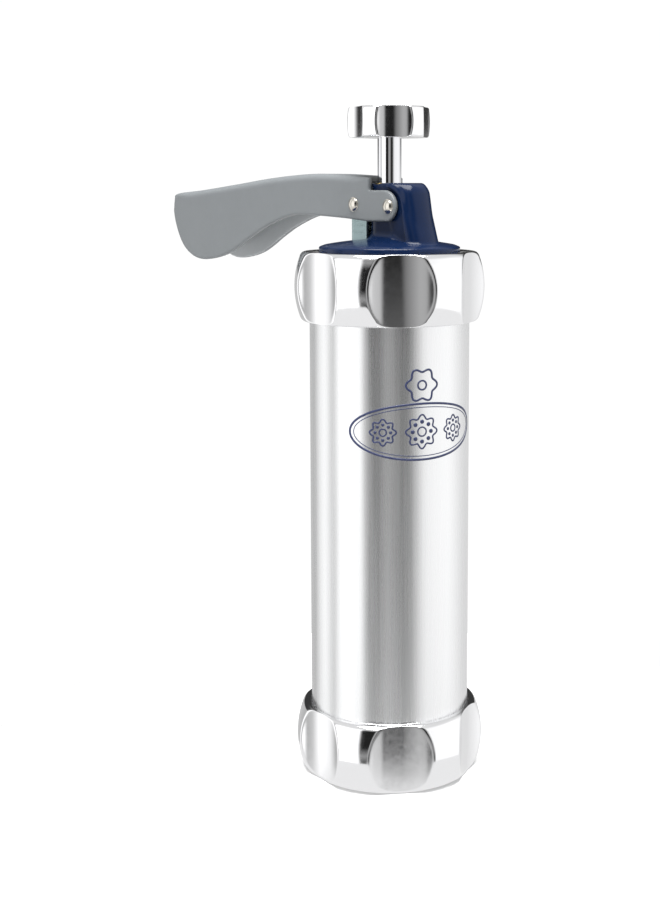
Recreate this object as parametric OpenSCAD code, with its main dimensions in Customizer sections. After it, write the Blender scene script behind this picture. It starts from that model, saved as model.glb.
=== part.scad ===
// Cookie press with a squeeze lever: an aluminium barrel between two scalloped ring nuts, a plastic head
// that holds the lever and its ratchet, and a toothed rod that pushes a piston down on the dough.
// Millimetres. +Z is up, the barrel's axis is the Z axis, the bottom ring stands on z = 0, and the lever
// points to -X.

/* [Barrel] */
// Outer radius of the tube
tube_r = 27.4; // [26:0.1:29]
// Wall thickness of the tube
tube_wall = 1.7; // [1.2:0.1:2.4]
// Height of the tube's top edge above the surface it stands on
tube_top = 177; // [165:1:190]

/* [Ring nuts] */
// Height of a ring nut
ring_h = 23.6; // [20:0.2:26]
// Largest radius of a ring nut, at half its height
ring_r = 32.5; // [31.5:0.1:34]
// Radius at the ring nut's two flat ends
ring_rim_r = 28.5; // [28.2:0.1:29.5]
// Number of finger scallops around a ring nut
ring_scallops = 6; // [5:1:8]
// Distance from the axis to the bottom of a scallop
ring_scallop_d = 28.8; // [28.6:0.1:30]
// Radius of the lip's hole in the bottom ring, where the dough comes out
outlet_r = 22; // [18:0.5:22.5]

/* [Head] */
// Radius of the round flange that shows above the top ring
flange_r = 24.1; // [23:0.1:24.2]
// Height of the top of the tower above the barrel's top edge
tower_rise = 27; // [26:0.5:30]
// Half the thickness of the tower between the lever's ears
tower_half = 6.2; // [5.8:0.1:6.3]
// Radius of the tower's round back
tower_back_r = 7.5; // [7:0.1:8]

/* [Lever] */
// Distance of the lever's pivot from the rod's axis
pivot_x = 7.6; // [7:0.1:8]
// Distance of the link's pin from the rod's axis, on the lever's side
link_x = 9; // [8.5:0.1:10]
// Half the lever's width at its ears
lever_half = 8.4; // [8:0.1:9]
// Half the lever's width at the grip
grip_half = 10; // [8.8:0.1:11]
// Thickness of the lever's walls
lever_wall = 1.8; // [1.4:0.1:1.8]
// Height of the lever's pivot above the barrel's top edge
pivot_rise = 19.2; // [18.8:0.1:20]

/* [Rod and knob] */
// Radius of the toothed rod
rod_r = 4.05; // [3.6:0.05:4.05]
// Distance between two teeth of the rod
tooth_pitch = 4; // [3:0.5:5]
// Depth of the teeth
tooth_depth = 1.2; // [0.8:0.1:1.4]
// Gap between the tower and the knob, as the rod stands
knob_gap = 15.3; // [15:0.1:40]
// Radius of the knob
knob_r = 14.3; // [12:0.1:16]
// Height of the knob
knob_h = 10.1; // [8:0.1:14]
// Number of scallops around the knob
knob_scallops = 5; // [4:1:7]

/* [Piston and disc] */
// Height of the piston
piston_h = 12; // [10:0.5:16]
// Number of petals in the forming disc's pattern
petals = 6; // [4:1:8]
// Radius of one petal hole
petal_r = 3; // [2:0.1:3.6]

/* [Hidden] */
$fn = 96;

// Barrel, rings and disc
disc_t = 1.2;
lip_t = 2.4;
gap = 0.05;
disc_z = lip_t + gap;
tube_bottom = disc_z + disc_t + gap;
tube_in = tube_r - tube_wall;
ring_bore = tube_r + 0.08;
ring_belly_r = 29.6;
ring_edge = 2;
ring_scallop_r = 39;
ring_turn = -37.5;
disc_r = tube_r - 0.6;
petal_ring_r = 9.5;
disc_centre_r = 2.6;

// Head
collar_t = 1.5;
collar_z = tube_top + gap;
lip_z = collar_z + collar_t + gap;
top_ring_z = lip_z + lip_t - gap - ring_h;
ring_top = top_ring_z + ring_h;
head_hole_r = flange_r + 0.3;
collar_r = ring_bore - 0.48;
skirt_r = tube_in - 0.5;
skirt_in = skirt_r - 2.2;
roof_z = ring_top - 0.1;
dome_rise = 2.2;
flange_top = ring_top + 2.1;
tower_foot = flange_top - dome_rise;
tower_top = tube_top + tower_rise;
base_z = tube_top - 20;
base_t = 4;
boss_top = base_z + 9;
back_tilt = 17;
back_foot_x = 12.9;
shoulder_r = 5;
pocket_tilt = 12;

// Lever and link
pivot_z = tube_top + pivot_rise;
link_z = pivot_z + 0.6;
pin_r = 2;
link_pin_r = 1.6;
head_r = 2.45;
head_dome = 1.2;
run = 0.05;
ear_r = 5.4;
ear_x = -2.2;
ear_span = 66;
pocket_r = ear_r + 1;
pocket_reach = 22;
pocket_open = 10;
web_end_x = -7.5;
link_out = lever_half - lever_wall - 0.2;
link_t = 1.2;
link_x0 = -12.8;
link_x1 = -4.6;
link_foot = tube_top + 0.8;
plate_t = 2;
plate_l = 28;
plate_w = 15.2;
return_r = 7.4;
return_wire = 0.45;
return_turns = 5;
plate_top = link_foot - 0.2;
slot_gap = 0.4;
lever_shift = 0.8;

// Outline of the lever from the side, x and z from the pivot: the back from the grip's end to the ears, then
// the underside from the ears round the finger lobe to the grip's end
BACK = [
    [-116.6, -6], [-116.2, 1.6], [-114, 4], [-99, 5.4], [-80, 7.5], [-63, 9.5], [-48, 10.7],
    [-35, 11.1], [-21, 10.5], [-9.3, 9.6], [-3, 9]
];
BELLY = [
    [0, -5.4], [-9.3, -5.1], [-21, -4.2], [-37, -3.4], [-45, -3.2], [-52, -4.2], [-59, -6.4],
    [-66, -9.2], [-73, -12.7], [-79, -16], [-85, -18.6], [-91.5, -20.2], [-98.5, -20.9],
    [-104.5, -19.8], [-110, -16.4], [-113.6, -11.4], [-115.7, -6.2], [-116.5, -2], [-116.2, 1.6]
];
CURVE_STEPS = 4;
back_wall = 2.2;
grip_wall_x = -111.5;

// Rod, knob and piston
knob_z = tower_top + knob_gap;
rod_top = knob_z + knob_h - 3;
knob_rest = 3.3;
piston_z = disc_z + disc_t + knob_gap - knob_rest + 0.2;
piston_top = piston_z + piston_h;
piston_r = tube_in - 0.4;
washer_t = 1;
rod_bottom = piston_top + washer_t;
spigot_r = 3;
clip_z = piston_z + 1.4;
clip_t = 0.8;
clip_groove_r = 2.4;
seal_r = 1.5;
rack_z0 = 50;
rack_z1 = 198;
knob_scallop_r = 20;
knob_scallop_d = 11.9;
knob_turn = -37.6;
knob_edge = 0.7;
knob_belly_r = 24;
knob_rim_r = knob_r - 1.3;
tooth_crest = 0.3;
piston_floor = 3.6;
piston_wall = 5;
piston_hub_r = 8;
clip_room_r = 6;
clip_r = 4.6;
clip_mouth = 2.4;
washer_r = 7;

// Ratchet's holding pawl, a sprung pin that lies across the head's base
pawl_z = base_z + 4.6;
pawl_r = 1.8;
pawl_tip_x = -(rod_r + 0.25);
pawl_end_x = -11.5;
plug_x = -19;
pawl_coil_r = 1.3;
pawl_wire = 0.25;
pawl_turns = 7;
plug_r = 2.6;
plug_end_x = -22.6;
bush_r = 5.8;
screw_r = 1.45;
screw_circle = 18.5;
screw_head_r = 2.8;
screw_head_h = 1.8;
screw_length = 17;
screw_socket_r = 1.3;
screw_boss_r = 3.2;
upper_bush_r = 5.4;
upper_bush_h = 5;
base_boss_r = 9;
pawl_block_w = 8;

// One point of a smooth curve through b and c, a share t of the way
function curve_point(a, b, c, d, t) =
    (2 * b + (c - a) * t + (2 * a - 5 * b + 4 * c - d) * t * t + (3 * b - a - 3 * c + d) * t * t * t) / 2;

// A smooth curve through the inner points of a list: its first and last point only set the end directions
function smooth(p, n) = [
    for (i = [1 : len(p) - 3])
        for (k = [0 : n - 1])
            curve_point(p[i - 1], p[i], p[i + 1], p[i + 2], k / n)
];

// A round coil along Z as a swept tube: mean radius, height between the end turns, turns, wire radius
module coil(mean_r, height, turns, wire_r, sides = 8, per_turn = 20) {
    rings = turns * per_turn;
    points = [
        for (i = [0 : rings])
            let (a = 360 * i / per_turn, z = height * i / rings)
            for (k = [0 : sides - 1])
                let (b = 360 * k / sides, r = mean_r + wire_r * cos(b))
                [r * cos(a), r * sin(a), z + wire_r * sin(b)]
    ];
    walls = [
        for (i = [0 : rings - 1])
            for (k = [0 : sides - 1])
                let (m = (k + 1) % sides)
                [i * sides + k, i * sides + m, (i + 1) * sides + m, (i + 1) * sides + k]
    ];
    ends = [[for (k = [sides - 1 : -1 : 0]) k], [for (k = [0 : sides - 1]) rings * sides + k]];
    polyhedron(points = points, faces = concat(walls, ends), convexity = 10);
}

// A cylinder along Y, centred on y = 0
module cross_pin(x, z, r, half) {
    translate([x, 0, z]) rotate([90, 0, 0]) cylinder(r = r, h = 2 * half, center = true);
}

// A rivet along Y with a low domed head on each side
module rivet(x, z, r, half) {
    dome_r = (head_r * head_r + head_dome * head_dome) / (2 * head_dome);
    cross_pin(x, z, r, half);
    for (side = [-1, 1])
        translate([x, side * half, z])
            rotate([-90 * side, 0, 0])
                rotate_extrude()
                    intersection() {
                        translate([0, head_dome - dome_r]) circle(r = dome_r);
                        square([head_r, head_dome]);
                    }
}

// The barrel-shaped blank that a ring nut or a knob is cut from: height, belly radius, end radius, edge height
module scalloped_blank(h, r, rim_r, edge, belly_r, count, cut_d, cut_r, turn) {
    difference() {
        rotate_extrude()
            intersection() {
                polygon([[0, 0], [rim_r, 0], [r, edge * (r - rim_r) / (r - rim_r - edge)],
                    [r, h - edge * (r - rim_r) / (r - rim_r - edge)], [rim_r, h], [0, h]]);
                translate([r - belly_r, h / 2]) circle(r = belly_r, $fn = 180);
            }
        for (i = [0 : count - 1])
            rotate([0, 0, turn + 360 * i / count])
                translate([cut_d + cut_r, 0, -1])
                    cylinder(r = cut_r, h = h + 2, $fn = 180);
    }
}

// A ring nut with its lip at the bottom: the bore takes the tube, the lip's hole is hole_r
module ring_nut(hole_r) {
    difference() {
        scalloped_blank(ring_h, ring_r, ring_rim_r, ring_edge, ring_belly_r,
            ring_scallops, ring_scallop_d, ring_scallop_r, ring_turn);
        translate([0, 0, lip_t]) cylinder(r = ring_bore, h = ring_h);
        translate([0, 0, -1]) cylinder(r = hole_r, h = lip_t + 2);
    }
}

module barrel_tube() {
    color("Silver")
        difference() {
            translate([0, 0, tube_bottom]) cylinder(r = tube_r, h = tube_top - tube_bottom);
            translate([0, 0, tube_bottom - 1]) cylinder(r = tube_in, h = tube_top);
        }
}

module top_ring() {
    color("Gainsboro")
        translate([0, 0, ring_top])
            mirror([0, 0, 1])
                ring_nut(head_hole_r);
}

module bottom_ring() {
    color("Gainsboro") ring_nut(outlet_r);
}

module forming_disc() {
    color("LightGrey")
        difference() {
            translate([0, 0, disc_z]) cylinder(r = disc_r, h = disc_t);
            translate([0, 0, disc_z - 1]) cylinder(r = disc_centre_r, h = disc_t + 2);
            for (i = [0 : petals - 1])
                rotate([0, 0, 360 * i / petals])
                    translate([petal_ring_r, 0, disc_z - 1])
                        cylinder(r = petal_r, h = disc_t + 2);
        }
}

// The flange, collar and skirt of the head in one revolved outline
module head_shell() {
    rotate_extrude()
        polygon([
            [0, roof_z], [0, flange_top + dome_rise], [14, flange_top + dome_rise - 0.2],
            [flange_r - 1.4, flange_top + 0.4], [flange_r, flange_top - 0.6],
            [flange_r, collar_z + collar_t], [collar_r, collar_z + collar_t], [collar_r, collar_z],
            [skirt_r, collar_z], [skirt_r, base_z + base_t + gap], [skirt_in, base_z + base_t + gap],
            [skirt_in, roof_z - 2], [skirt_in - 2, roof_z]
        ]);
}

// The tower's outline from the side: a flat top, a round shoulder and a back that slopes down to the flange
module tower_side() {
    back_top_x = back_foot_x + tower_back_r - tan(back_tilt) * (tower_top - flange_top - shoulder_r) + 0.4;
    polygon(concat(
        [[-tower_half, tower_foot], [-tower_half, tower_top]],
        [for (a = [90 : -10 : back_tilt])
            [back_top_x - shoulder_r, tower_top - shoulder_r] + shoulder_r * [cos(a), sin(a)]],
        [[back_foot_x + tower_back_r + 1 + dome_rise * tan(back_tilt), tower_foot]]
    ));
}

// The pocket for one ear, from the side and in the frame of the pivot: round above, with a tilted side below
module pocket_outline() {
    centre = [ear_x, 0];
    turn_end = centre + pocket_r * [cos(pocket_tilt), sin(pocket_tilt)];
    polygon(concat(
        [[-pocket_reach, -pocket_reach], [-pocket_reach, pocket_open], [ear_x, pocket_open]],
        [for (a = [90 : -6 : pocket_tilt + 6]) centre + pocket_r * [cos(a), sin(a)]],
        [turn_end, turn_end + pocket_reach * [sin(pocket_tilt), -cos(pocket_tilt)]]
    ));
}

// The slim part of the tower between the lever's ears, and its wider round back
module tower() {
    intersection() {
        rotate([90, 0, 0])
            linear_extrude(height = 2 * tower_back_r + 2, center = true)
                tower_side();
        union() {
            translate([0, 0, tower_foot]) cylinder(r = tower_half, h = tower_rise);
            translate([0, -tower_half, tower_foot]) cube([back_foot_x - 1, 2 * tower_half, tower_rise]);
            difference() {
                translate([back_foot_x, 0, flange_top])
                    rotate([0, -back_tilt, 0])
                        translate([0, 0, -4])
                            cylinder(r = tower_back_r, h = tower_rise + 12);
                for (side = [-1, 1])
                    translate([pivot_x, side * (tower_half + 5), pivot_z])
                        rotate([90, 0, 0])
                            linear_extrude(height = 10, center = true)
                                pocket_outline();
            }
        }
    }
}

module head_housing() {
    color("MidnightBlue")
        difference() {
            union() {
                head_shell();
                tower();
                for (i = [0 : 2])
                    rotate([0, 0, 120 * i])
                        translate([screw_circle, 0, base_z + base_t + gap])
                            cylinder(r = screw_boss_r, h = roof_z - base_z - base_t, $fn = 48);
            }
            // Passage of the rod, with a seat for the upper bush
            translate([0, 0, roof_z - 1]) cylinder(r = rod_r + 0.35, h = tower_rise);
            translate([0, 0, tower_top - upper_bush_h]) cylinder(r = upper_bush_r, h = upper_bush_h + 1);
            cross_pin(pivot_x, pivot_z, pin_r + run, 12);
            // Slot for the link, a U open towards the rod
            difference() {
                translate([link_x0 - slot_gap, -link_out - slot_gap, roof_z - 3])
                    cube([link_x1 - link_x0 + slot_gap + lever_shift, 2 * (link_out + slot_gap), 12]);
                translate([link_x0 + link_t + lever_shift, -link_out + link_t + slot_gap, roof_z - 4])
                    cube([20, 2 * (link_out - link_t - slot_gap), 14]);
            }
            for (i = [0 : 2])
                rotate([0, 0, 120 * i])
                    translate([screw_circle, 0, base_z])
                        cylinder(r = screw_r + run, h = screw_length, $fn = 48);
        }
}

module head_base() {
    color("MidnightBlue")
        difference() {
            union() {
                translate([0, 0, base_z]) cylinder(r = skirt_r, h = base_t);
                translate([0, 0, base_z]) cylinder(r = base_boss_r, h = boss_top - base_z);
                translate([plug_end_x + 0.1, -pawl_block_w / 2, base_z])
                    cube([-plug_end_x - 1, pawl_block_w, boss_top - base_z - 1]);
            }
            translate([0, 0, base_z - 1]) cylinder(r = bush_r + run, h = 12);
            translate([0, 0, pawl_z])
                rotate([0, -90, 0]) {
                    cylinder(r = pawl_r + run, h = -plug_x, $fn = 48);
                    translate([0, 0, -plug_x]) cylinder(r = plug_r + run, h = 10, $fn = 48);
                }
            for (i = [0 : 2])
                rotate([0, 0, 120 * i])
                    translate([screw_circle, 0, base_z - 1])
                        cylinder(r = screw_r + 0.2, h = 12, $fn = 48);
        }
}

module head_screws() {
    color("LightSteelBlue")
        for (i = [0 : 2])
            rotate([0, 0, 120 * i])
                translate([screw_circle, 0, base_z - screw_head_h - gap])
                    difference() {
                        union() {
                            cylinder(r = screw_head_r, h = screw_head_h, $fn = 48);
                            cylinder(r = screw_r, h = screw_length, $fn = 48);
                        }
                        translate([0, 0, -1]) cylinder(r = screw_socket_r, h = 2.1, $fn = 6);
                    }
}

module upper_bush() {
    color("Goldenrod")
        difference() {
            translate([0, 0, tower_top - upper_bush_h + gap])
                cylinder(r = upper_bush_r - run, h = upper_bush_h - gap);
            translate([0, 0, tower_top - upper_bush_h - 1]) cylinder(r = rod_r + run, h = upper_bush_h + 3);
        }
}

module lower_bush() {
    color("Goldenrod")
        difference() {
            translate([0, 0, base_z]) cylinder(r = bush_r, h = boss_top - base_z);
            translate([0, 0, base_z - 1]) cylinder(r = rod_r + run, h = 12);
            translate([0, 0, pawl_z]) rotate([0, -90, 0]) cylinder(r = pawl_r + run, h = 10, $fn = 48);
        }
}

// Outline of the lever from the side, in the frame of its pivot
module lever_outline() {
    polygon(concat(
        smooth(BACK, CURVE_STEPS),
        [[-9.3, 9.6], [-9.3, ear_r]],
        [for (a = [90 : -6 : -ear_span]) [ear_x, 0] + ear_r * [cos(a), sin(a)]],
        smooth(BELLY, CURVE_STEPS)
    ));
}

// Outline of the hollow under the lever's back, open below
module lever_hollow() {
    back = [for (p = smooth(BACK, CURVE_STEPS)) if (p[0] > grip_wall_x) p - [0, back_wall]];
    polygon(concat([[grip_wall_x, -30], [grip_wall_x, 1.2]], back, [[12, 9.6 - back_wall], [12, -30]]));
}

// The lever's plan, w less than its full half width on each side
module lever_plan(w) {
    polygon([
        [-120, -grip_half + w], [-96, -grip_half + w], [-56, -lever_half + w], [20, -lever_half + w],
        [20, lever_half - w], [-56, lever_half - w], [-96, grip_half - w], [-120, grip_half - w]
    ]);
}

module lever() {
    color("DarkGray")
        difference() {
            translate([pivot_x, 0, pivot_z])
                difference() {
                    intersection() {
                        rotate([90, 0, 0])
                            linear_extrude(height = 2 * grip_half + 2, center = true)
                                lever_outline();
                        translate([0, 0, -40]) linear_extrude(height = 80) lever_plan(0);
                    }
                    intersection() {
                        rotate([90, 0, 0])
                            linear_extrude(height = 2 * grip_half + 2, center = true)
                                lever_hollow();
                        translate([0, 0, -40]) linear_extrude(height = 80) lever_plan(lever_wall);
                    }
                    translate([web_end_x - pivot_x, -lever_half + lever_wall, -12])
                        cube([40, 2 * (lever_half - lever_wall), 40]);
                }
            cross_pin(pivot_x, pivot_z, pin_r + run, 12);
            cross_pin(-link_x, link_z, link_pin_r, 12);
        }
}

module pivot_pin() {
    color("LightSteelBlue") rivet(pivot_x, pivot_z, pin_r, lever_half + gap);
}

module link_pin() {
    color("LightSteelBlue") rivet(-link_x, link_z, link_pin_r - run / 2, lever_half + gap);
}

module drive_link() {
    top = link_z + 3.6;
    color("LightSteelBlue")
        difference() {
            intersection() {
                translate([link_x0, -link_out, link_foot])
                    cube([link_x1 - link_x0, 2 * link_out, top - link_foot]);
                union() {
                    cross_pin(-link_x, link_z, 4.2, 12);
                    translate([link_x0, -12, 0]) cube([link_x1 - link_x0, 24, link_z]);
                }
            }
            translate([link_x0 + link_t, -link_out + link_t, link_foot - 1])
                cube([20, 2 * (link_out - link_t), 40]);
            translate([link_x0 - 1, -link_out + link_t, link_z - 3])
                cube([20, 2 * (link_out - link_t), 40]);
            cross_pin(-link_x, link_z, link_pin_r + run, 12);
        }
}

module drive_plate() {
    color("SlateGray")
        difference() {
            intersection() {
                translate([-plate_l / 2, -plate_w / 2, plate_top - plate_t]) cube([plate_l, plate_w, plate_t]);
                translate([0, 0, plate_top - plate_t - 1]) cylinder(r = plate_l / 2 + 0.4, h = plate_t + 2);
            }
            translate([0, 0, plate_top - plate_t - 1]) cylinder(r = rod_r + 0.25, h = plate_t + 2);
        }
}

module return_spring() {
    low = boss_top + gap + return_wire;
    high = plate_top - plate_t - gap - return_wire;
    color("SlateGray") translate([0, 0, low]) coil(return_r, high - low, return_turns, return_wire);
}

module hold_pawl() {
    color("SlateGray")
        translate([0, 0, pawl_z])
            rotate([0, -90, 0])
                difference() {
                    translate([0, 0, -pawl_tip_x]) cylinder(r = pawl_r, h = pawl_tip_x - pawl_end_x, $fn = 48);
                    rotate([90, 0, 0])
                        linear_extrude(height = 6, center = true)
                            polygon([[0.3, -pawl_tip_x - 1], [3, -pawl_tip_x - 1], [3, -pawl_tip_x + 2.2]]);
                }
}

module pawl_spring() {
    first = -pawl_end_x + gap + pawl_wire;
    last = -plug_x - gap - pawl_wire;
    color("SlateGray")
        translate([0, 0, pawl_z])
            rotate([0, -90, 0])
                translate([0, 0, first])
                    coil(pawl_coil_r, last - first, pawl_turns, pawl_wire, sides = 6, per_turn = 12);
}

module pawl_plug() {
    color("LightSteelBlue")
        translate([0, 0, pawl_z])
            rotate([0, -90, 0])
                difference() {
                    translate([0, 0, -plug_x]) cylinder(r = plug_r, h = plug_x - plug_end_x, $fn = 48);
                    translate([-0.4, -3, -plug_end_x - 0.8]) cube([0.8, 6, 2]);
                }
}

// The saw teeth that are cut into one side of the rod: steep below, sloping above
module rack_cut() {
    count = floor((rack_z1 - rack_z0) / tooth_pitch);
    floor_x = -rod_r + tooth_depth;
    rotate([90, 0, 0])
        linear_extrude(height = 2 * rod_r, center = true)
            polygon(concat(
                [for (i = [0 : count - 1], k = [0, 1])
                    [k == 0 ? floor_x : -rod_r + tooth_crest, rack_z0 + (i + 0.9 * k) * tooth_pitch]],
                [[-rod_r - 2, rack_z0 + count * tooth_pitch], [-rod_r - 2, rack_z0]]
            ));
}

module push_rod() {
    color("Silver")
        difference() {
            union() {
                translate([0, 0, rod_bottom]) cylinder(r = rod_r, h = rod_top - rod_bottom);
                translate([0, 0, clip_z - 0.8]) cylinder(r = spigot_r, h = rod_bottom - clip_z + 1);
            }
            rack_cut();
            translate([0, 0, clip_z])
                difference() {
                    cylinder(r = spigot_r + 1, h = clip_t + 2 * gap);
                    translate([0, 0, -1]) cylinder(r = clip_groove_r, h = clip_t + 3);
                }
        }
}

module knob() {
    color("Gainsboro")
        translate([0, 0, knob_z])
            difference() {
                scalloped_blank(knob_h, knob_r, knob_rim_r, knob_edge, knob_belly_r,
                    knob_scallops, knob_scallop_d, knob_scallop_r, knob_turn);
                translate([0, 0, -1]) cylinder(r = rod_r + run / 2, h = rod_top - knob_z + 1 + gap);
            }
}

module piston_disc() {
    seal_z = piston_z + piston_h / 2;
    color("Silver")
        difference() {
            union() {
                translate([0, 0, piston_z])
                    difference() {
                        cylinder(r = piston_r, h = piston_h);
                        translate([0, 0, piston_floor]) cylinder(r = piston_r - piston_wall, h = piston_h);
                    }
                translate([0, 0, piston_z]) cylinder(r = piston_hub_r, h = piston_h);
            }
            translate([0, 0, piston_z - 1]) cylinder(r = spigot_r + run, h = piston_h + 2);
            translate([0, 0, piston_z - 1])
                cylinder(r = clip_room_r, h = 1 + clip_z + clip_t - piston_z + 2 * gap);
            translate([0, 0, seal_z - seal_r - gap])
                difference() {
                    cylinder(r = piston_r + 1, h = 2 * (seal_r + gap));
                    translate([0, 0, -1]) cylinder(r = tube_in - 2 * seal_r - 0.15, h = 2 * seal_r + 3);
                }
        }
}

module piston_seal() {
    color("DimGray")
        translate([0, 0, piston_z + piston_h / 2])
            rotate_extrude()
                translate([tube_in - seal_r - 0.06, 0])
                    circle(r = seal_r, $fn = 48);
}

module piston_washer() {
    color("LightSteelBlue")
        translate([0, 0, piston_top + gap])
            difference() {
                cylinder(r = washer_r, h = washer_t - 2 * gap);
                translate([0, 0, -1]) cylinder(r = spigot_r + run, h = 4);
            }
}

module piston_clip() {
    color("SlateGray")
        translate([0, 0, clip_z + gap])
            difference() {
                cylinder(r = clip_r, h = clip_t);
                translate([0, 0, -1]) cylinder(r = clip_groove_r + run, h = 4);
                translate([0, -clip_mouth / 2, -1]) cube([6, clip_mouth, 4]);
            }
}

barrel_tube();
top_ring();
bottom_ring();
forming_disc();
head_housing();
head_base();
head_screws();
upper_bush();
lower_bush();
lever();
pivot_pin();
link_pin();
drive_link();
drive_plate();
return_spring();
hold_pawl();
pawl_spring();
pawl_plug();
push_rod();
knob();
piston_disc();
piston_seal();
piston_washer();
piston_clip();
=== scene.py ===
"""Looks of a squeeze-lever cookie press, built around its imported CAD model.

Sizes in the classes are millimetres unless a name says otherwise. The Z axis is the barrel's axis, the bottom
ring stands on z = 0 and the lever points to -X.
"""

from __future__ import annotations

import logging
import math
from dataclasses import dataclass
from enum import Enum
from typing import Callable, Iterable, Sequence

import bmesh
import bpy
import numpy as np
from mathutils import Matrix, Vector


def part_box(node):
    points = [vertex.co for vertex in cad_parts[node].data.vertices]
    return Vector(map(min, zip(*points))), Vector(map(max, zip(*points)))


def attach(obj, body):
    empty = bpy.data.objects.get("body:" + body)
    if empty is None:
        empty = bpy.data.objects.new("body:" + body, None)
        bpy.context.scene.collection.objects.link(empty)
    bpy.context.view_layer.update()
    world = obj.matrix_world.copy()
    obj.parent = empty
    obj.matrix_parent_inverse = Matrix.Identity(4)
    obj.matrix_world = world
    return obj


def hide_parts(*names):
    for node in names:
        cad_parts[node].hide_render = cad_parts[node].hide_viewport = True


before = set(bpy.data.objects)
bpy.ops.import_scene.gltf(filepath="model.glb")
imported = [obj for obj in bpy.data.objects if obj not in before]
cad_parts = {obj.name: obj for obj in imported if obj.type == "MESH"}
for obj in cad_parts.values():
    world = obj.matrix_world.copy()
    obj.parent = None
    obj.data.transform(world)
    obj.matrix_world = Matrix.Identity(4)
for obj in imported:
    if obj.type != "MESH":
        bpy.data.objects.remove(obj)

LOG = logging.getLogger("cookie_press")
MM = 0.001
MERGE = 2e-6
THIN = 1e-9
CAMERA_AZIMUTH = 45.0
Field = Callable[[np.ndarray], np.ndarray]


class Slot(Enum):
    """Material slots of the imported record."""

    TUBE = "tube"
    POLISHED = "polished"
    KNOB = "knob"
    NAVY = "navy_plastic"
    LEVER = "lever_grey"
    ZINC = "zinc"
    RIVET = "rivet"
    ROD = "rod_chrome"
    SPRING = "spring_steel"
    DISC = "disc"


# ---------------------------------------------------------------- node graphs


class Graph:
    """Adds nodes to a shader or Geometry Nodes tree, with plain numbers or sockets as inputs."""

    def __init__(self, tree: bpy.types.NodeTree) -> None:
        """Wrap a tree.

        Args:
            tree: The node tree that the nodes go in.
        """
        self.tree = tree

    def add(
        self, kind: str, values: dict[int | str, object] | None = None, **settings: object
    ) -> bpy.types.Node:
        """Add one node.

        Args:
            kind: Blender's type name of the node.
            values: Input index or name to a number, colour, vector or output socket.
            **settings: Properties of the node, such as operation.

        Returns:
            The new node.
        """
        node = self.tree.nodes.new(kind)
        for name, value in settings.items():
            setattr(node, name, value)
        for key, value in (values or {}).items():
            if isinstance(value, bpy.types.NodeSocket):
                self.tree.links.new(value, node.inputs[key])
            else:
                node.inputs[key].default_value = value
        return node

    def math(self, operation: str, *values: object) -> bpy.types.NodeSocket:
        """Add a Math node and return its output.

        Args:
            operation: The Math node's operation.
            *values: Its inputs, as numbers or sockets.

        Returns:
            The result's socket.
        """
        node = self.add("ShaderNodeMath", dict(enumerate(values)), operation=operation)
        return node.outputs[0]

    def span(
        self, value: object, start: float, end: float, low: float = 0.0, high: float = 1.0
    ) -> bpy.types.NodeSocket:
        """Map a value from one range to another, and keep it in that range.

        Args:
            value: The number or socket that is mapped.
            start: Value that gives low.
            end: Value that gives high.
            low: Result at start.
            high: Result at end.

        Returns:
            The result's socket.
        """
        return self.add("ShaderNodeMapRange", {"Value": value, 1: start, 2: end, 3: low, 4: high}).outputs[0]


class NodeModel:
    """A Geometry Nodes tree with named inputs, which turns a blank mesh into a finished piece."""

    def __init__(self, name: str) -> None:
        """Start a tree with a geometry input, a material input and a geometry output.

        Args:
            name: Name of the tree.
        """
        self.tree = bpy.data.node_groups.new(name, "GeometryNodeTree")
        self.graph = Graph(self.tree)
        self.identifiers: dict[str, str] = {}
        self.source = self.tree.nodes.new("NodeGroupInput")
        self.tree.interface.new_socket("Geometry", in_out="OUTPUT", socket_type="NodeSocketGeometry")
        self.geometry = self.named("Blank", "NodeSocketGeometry")
        self.material = self.named("Material", "NodeSocketMaterial")

    def named(self, name: str, kind: str = "NodeSocketFloat") -> bpy.types.NodeSocket:
        """Add a named input to the tree.

        Args:
            name: The input's name.
            kind: The socket's type.

        Returns:
            The socket inside the tree that carries the input's value.
        """
        item = self.tree.interface.new_socket(name, in_out="INPUT", socket_type=kind)
        self.identifiers[name] = item.identifier
        return self.source.outputs[name]

    def close(self, geometry: bpy.types.NodeSocket) -> None:
        """End the tree in Realize Instances and Set Material.

        Args:
            geometry: The socket with the finished geometry.
        """
        real = self.graph.add("GeometryNodeRealizeInstances", {"Geometry": geometry})
        dressed = self.graph.add(
            "GeometryNodeSetMaterial", {"Geometry": real.outputs[0], "Material": self.material}
        )
        self.graph.add("NodeGroupOutput", {0: dressed.outputs[0]})

    def make(self, name: str, blank: bpy.types.Mesh, values: dict[str, object]) -> bpy.types.Object:
        """Run the tree on a blank and keep the result as a plain mesh.

        Args:
            name: Name of the piece.
            blank: Mesh that goes in.
            values: Input name to value.

        Returns:
            The piece, at the origin, with no modifier left.
        """
        piece = bpy.data.objects.new(name, blank)
        bpy.context.scene.collection.objects.link(piece)
        modifier = piece.modifiers.new("shape", "NODES")
        modifier.node_group = self.tree
        for key, value in values.items():
            modifier[self.identifiers[key]] = value
        graph = bpy.context.evaluated_depsgraph_get()
        mesh = bpy.data.meshes.new_from_object(piece.evaluated_get(graph))
        piece.modifiers.remove(modifier)
        piece.data = mesh
        mesh.name = name
        tidy_mesh(mesh)
        return piece


# ---------------------------------------------------------------- mesh tools


def tidy_mesh(mesh: bpy.types.Mesh) -> None:
    """Merge doubles, turn every face outwards and set smooth shading.

    Args:
        mesh: The mesh to tidy.
    """
    work = bmesh.new()
    work.from_mesh(mesh)
    bmesh.ops.remove_doubles(work, verts=work.verts, dist=MERGE)
    bmesh.ops.recalc_face_normals(work, faces=work.faces)
    for face in work.faces:
        face.smooth = True
    work.to_mesh(mesh)
    work.free()


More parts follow.
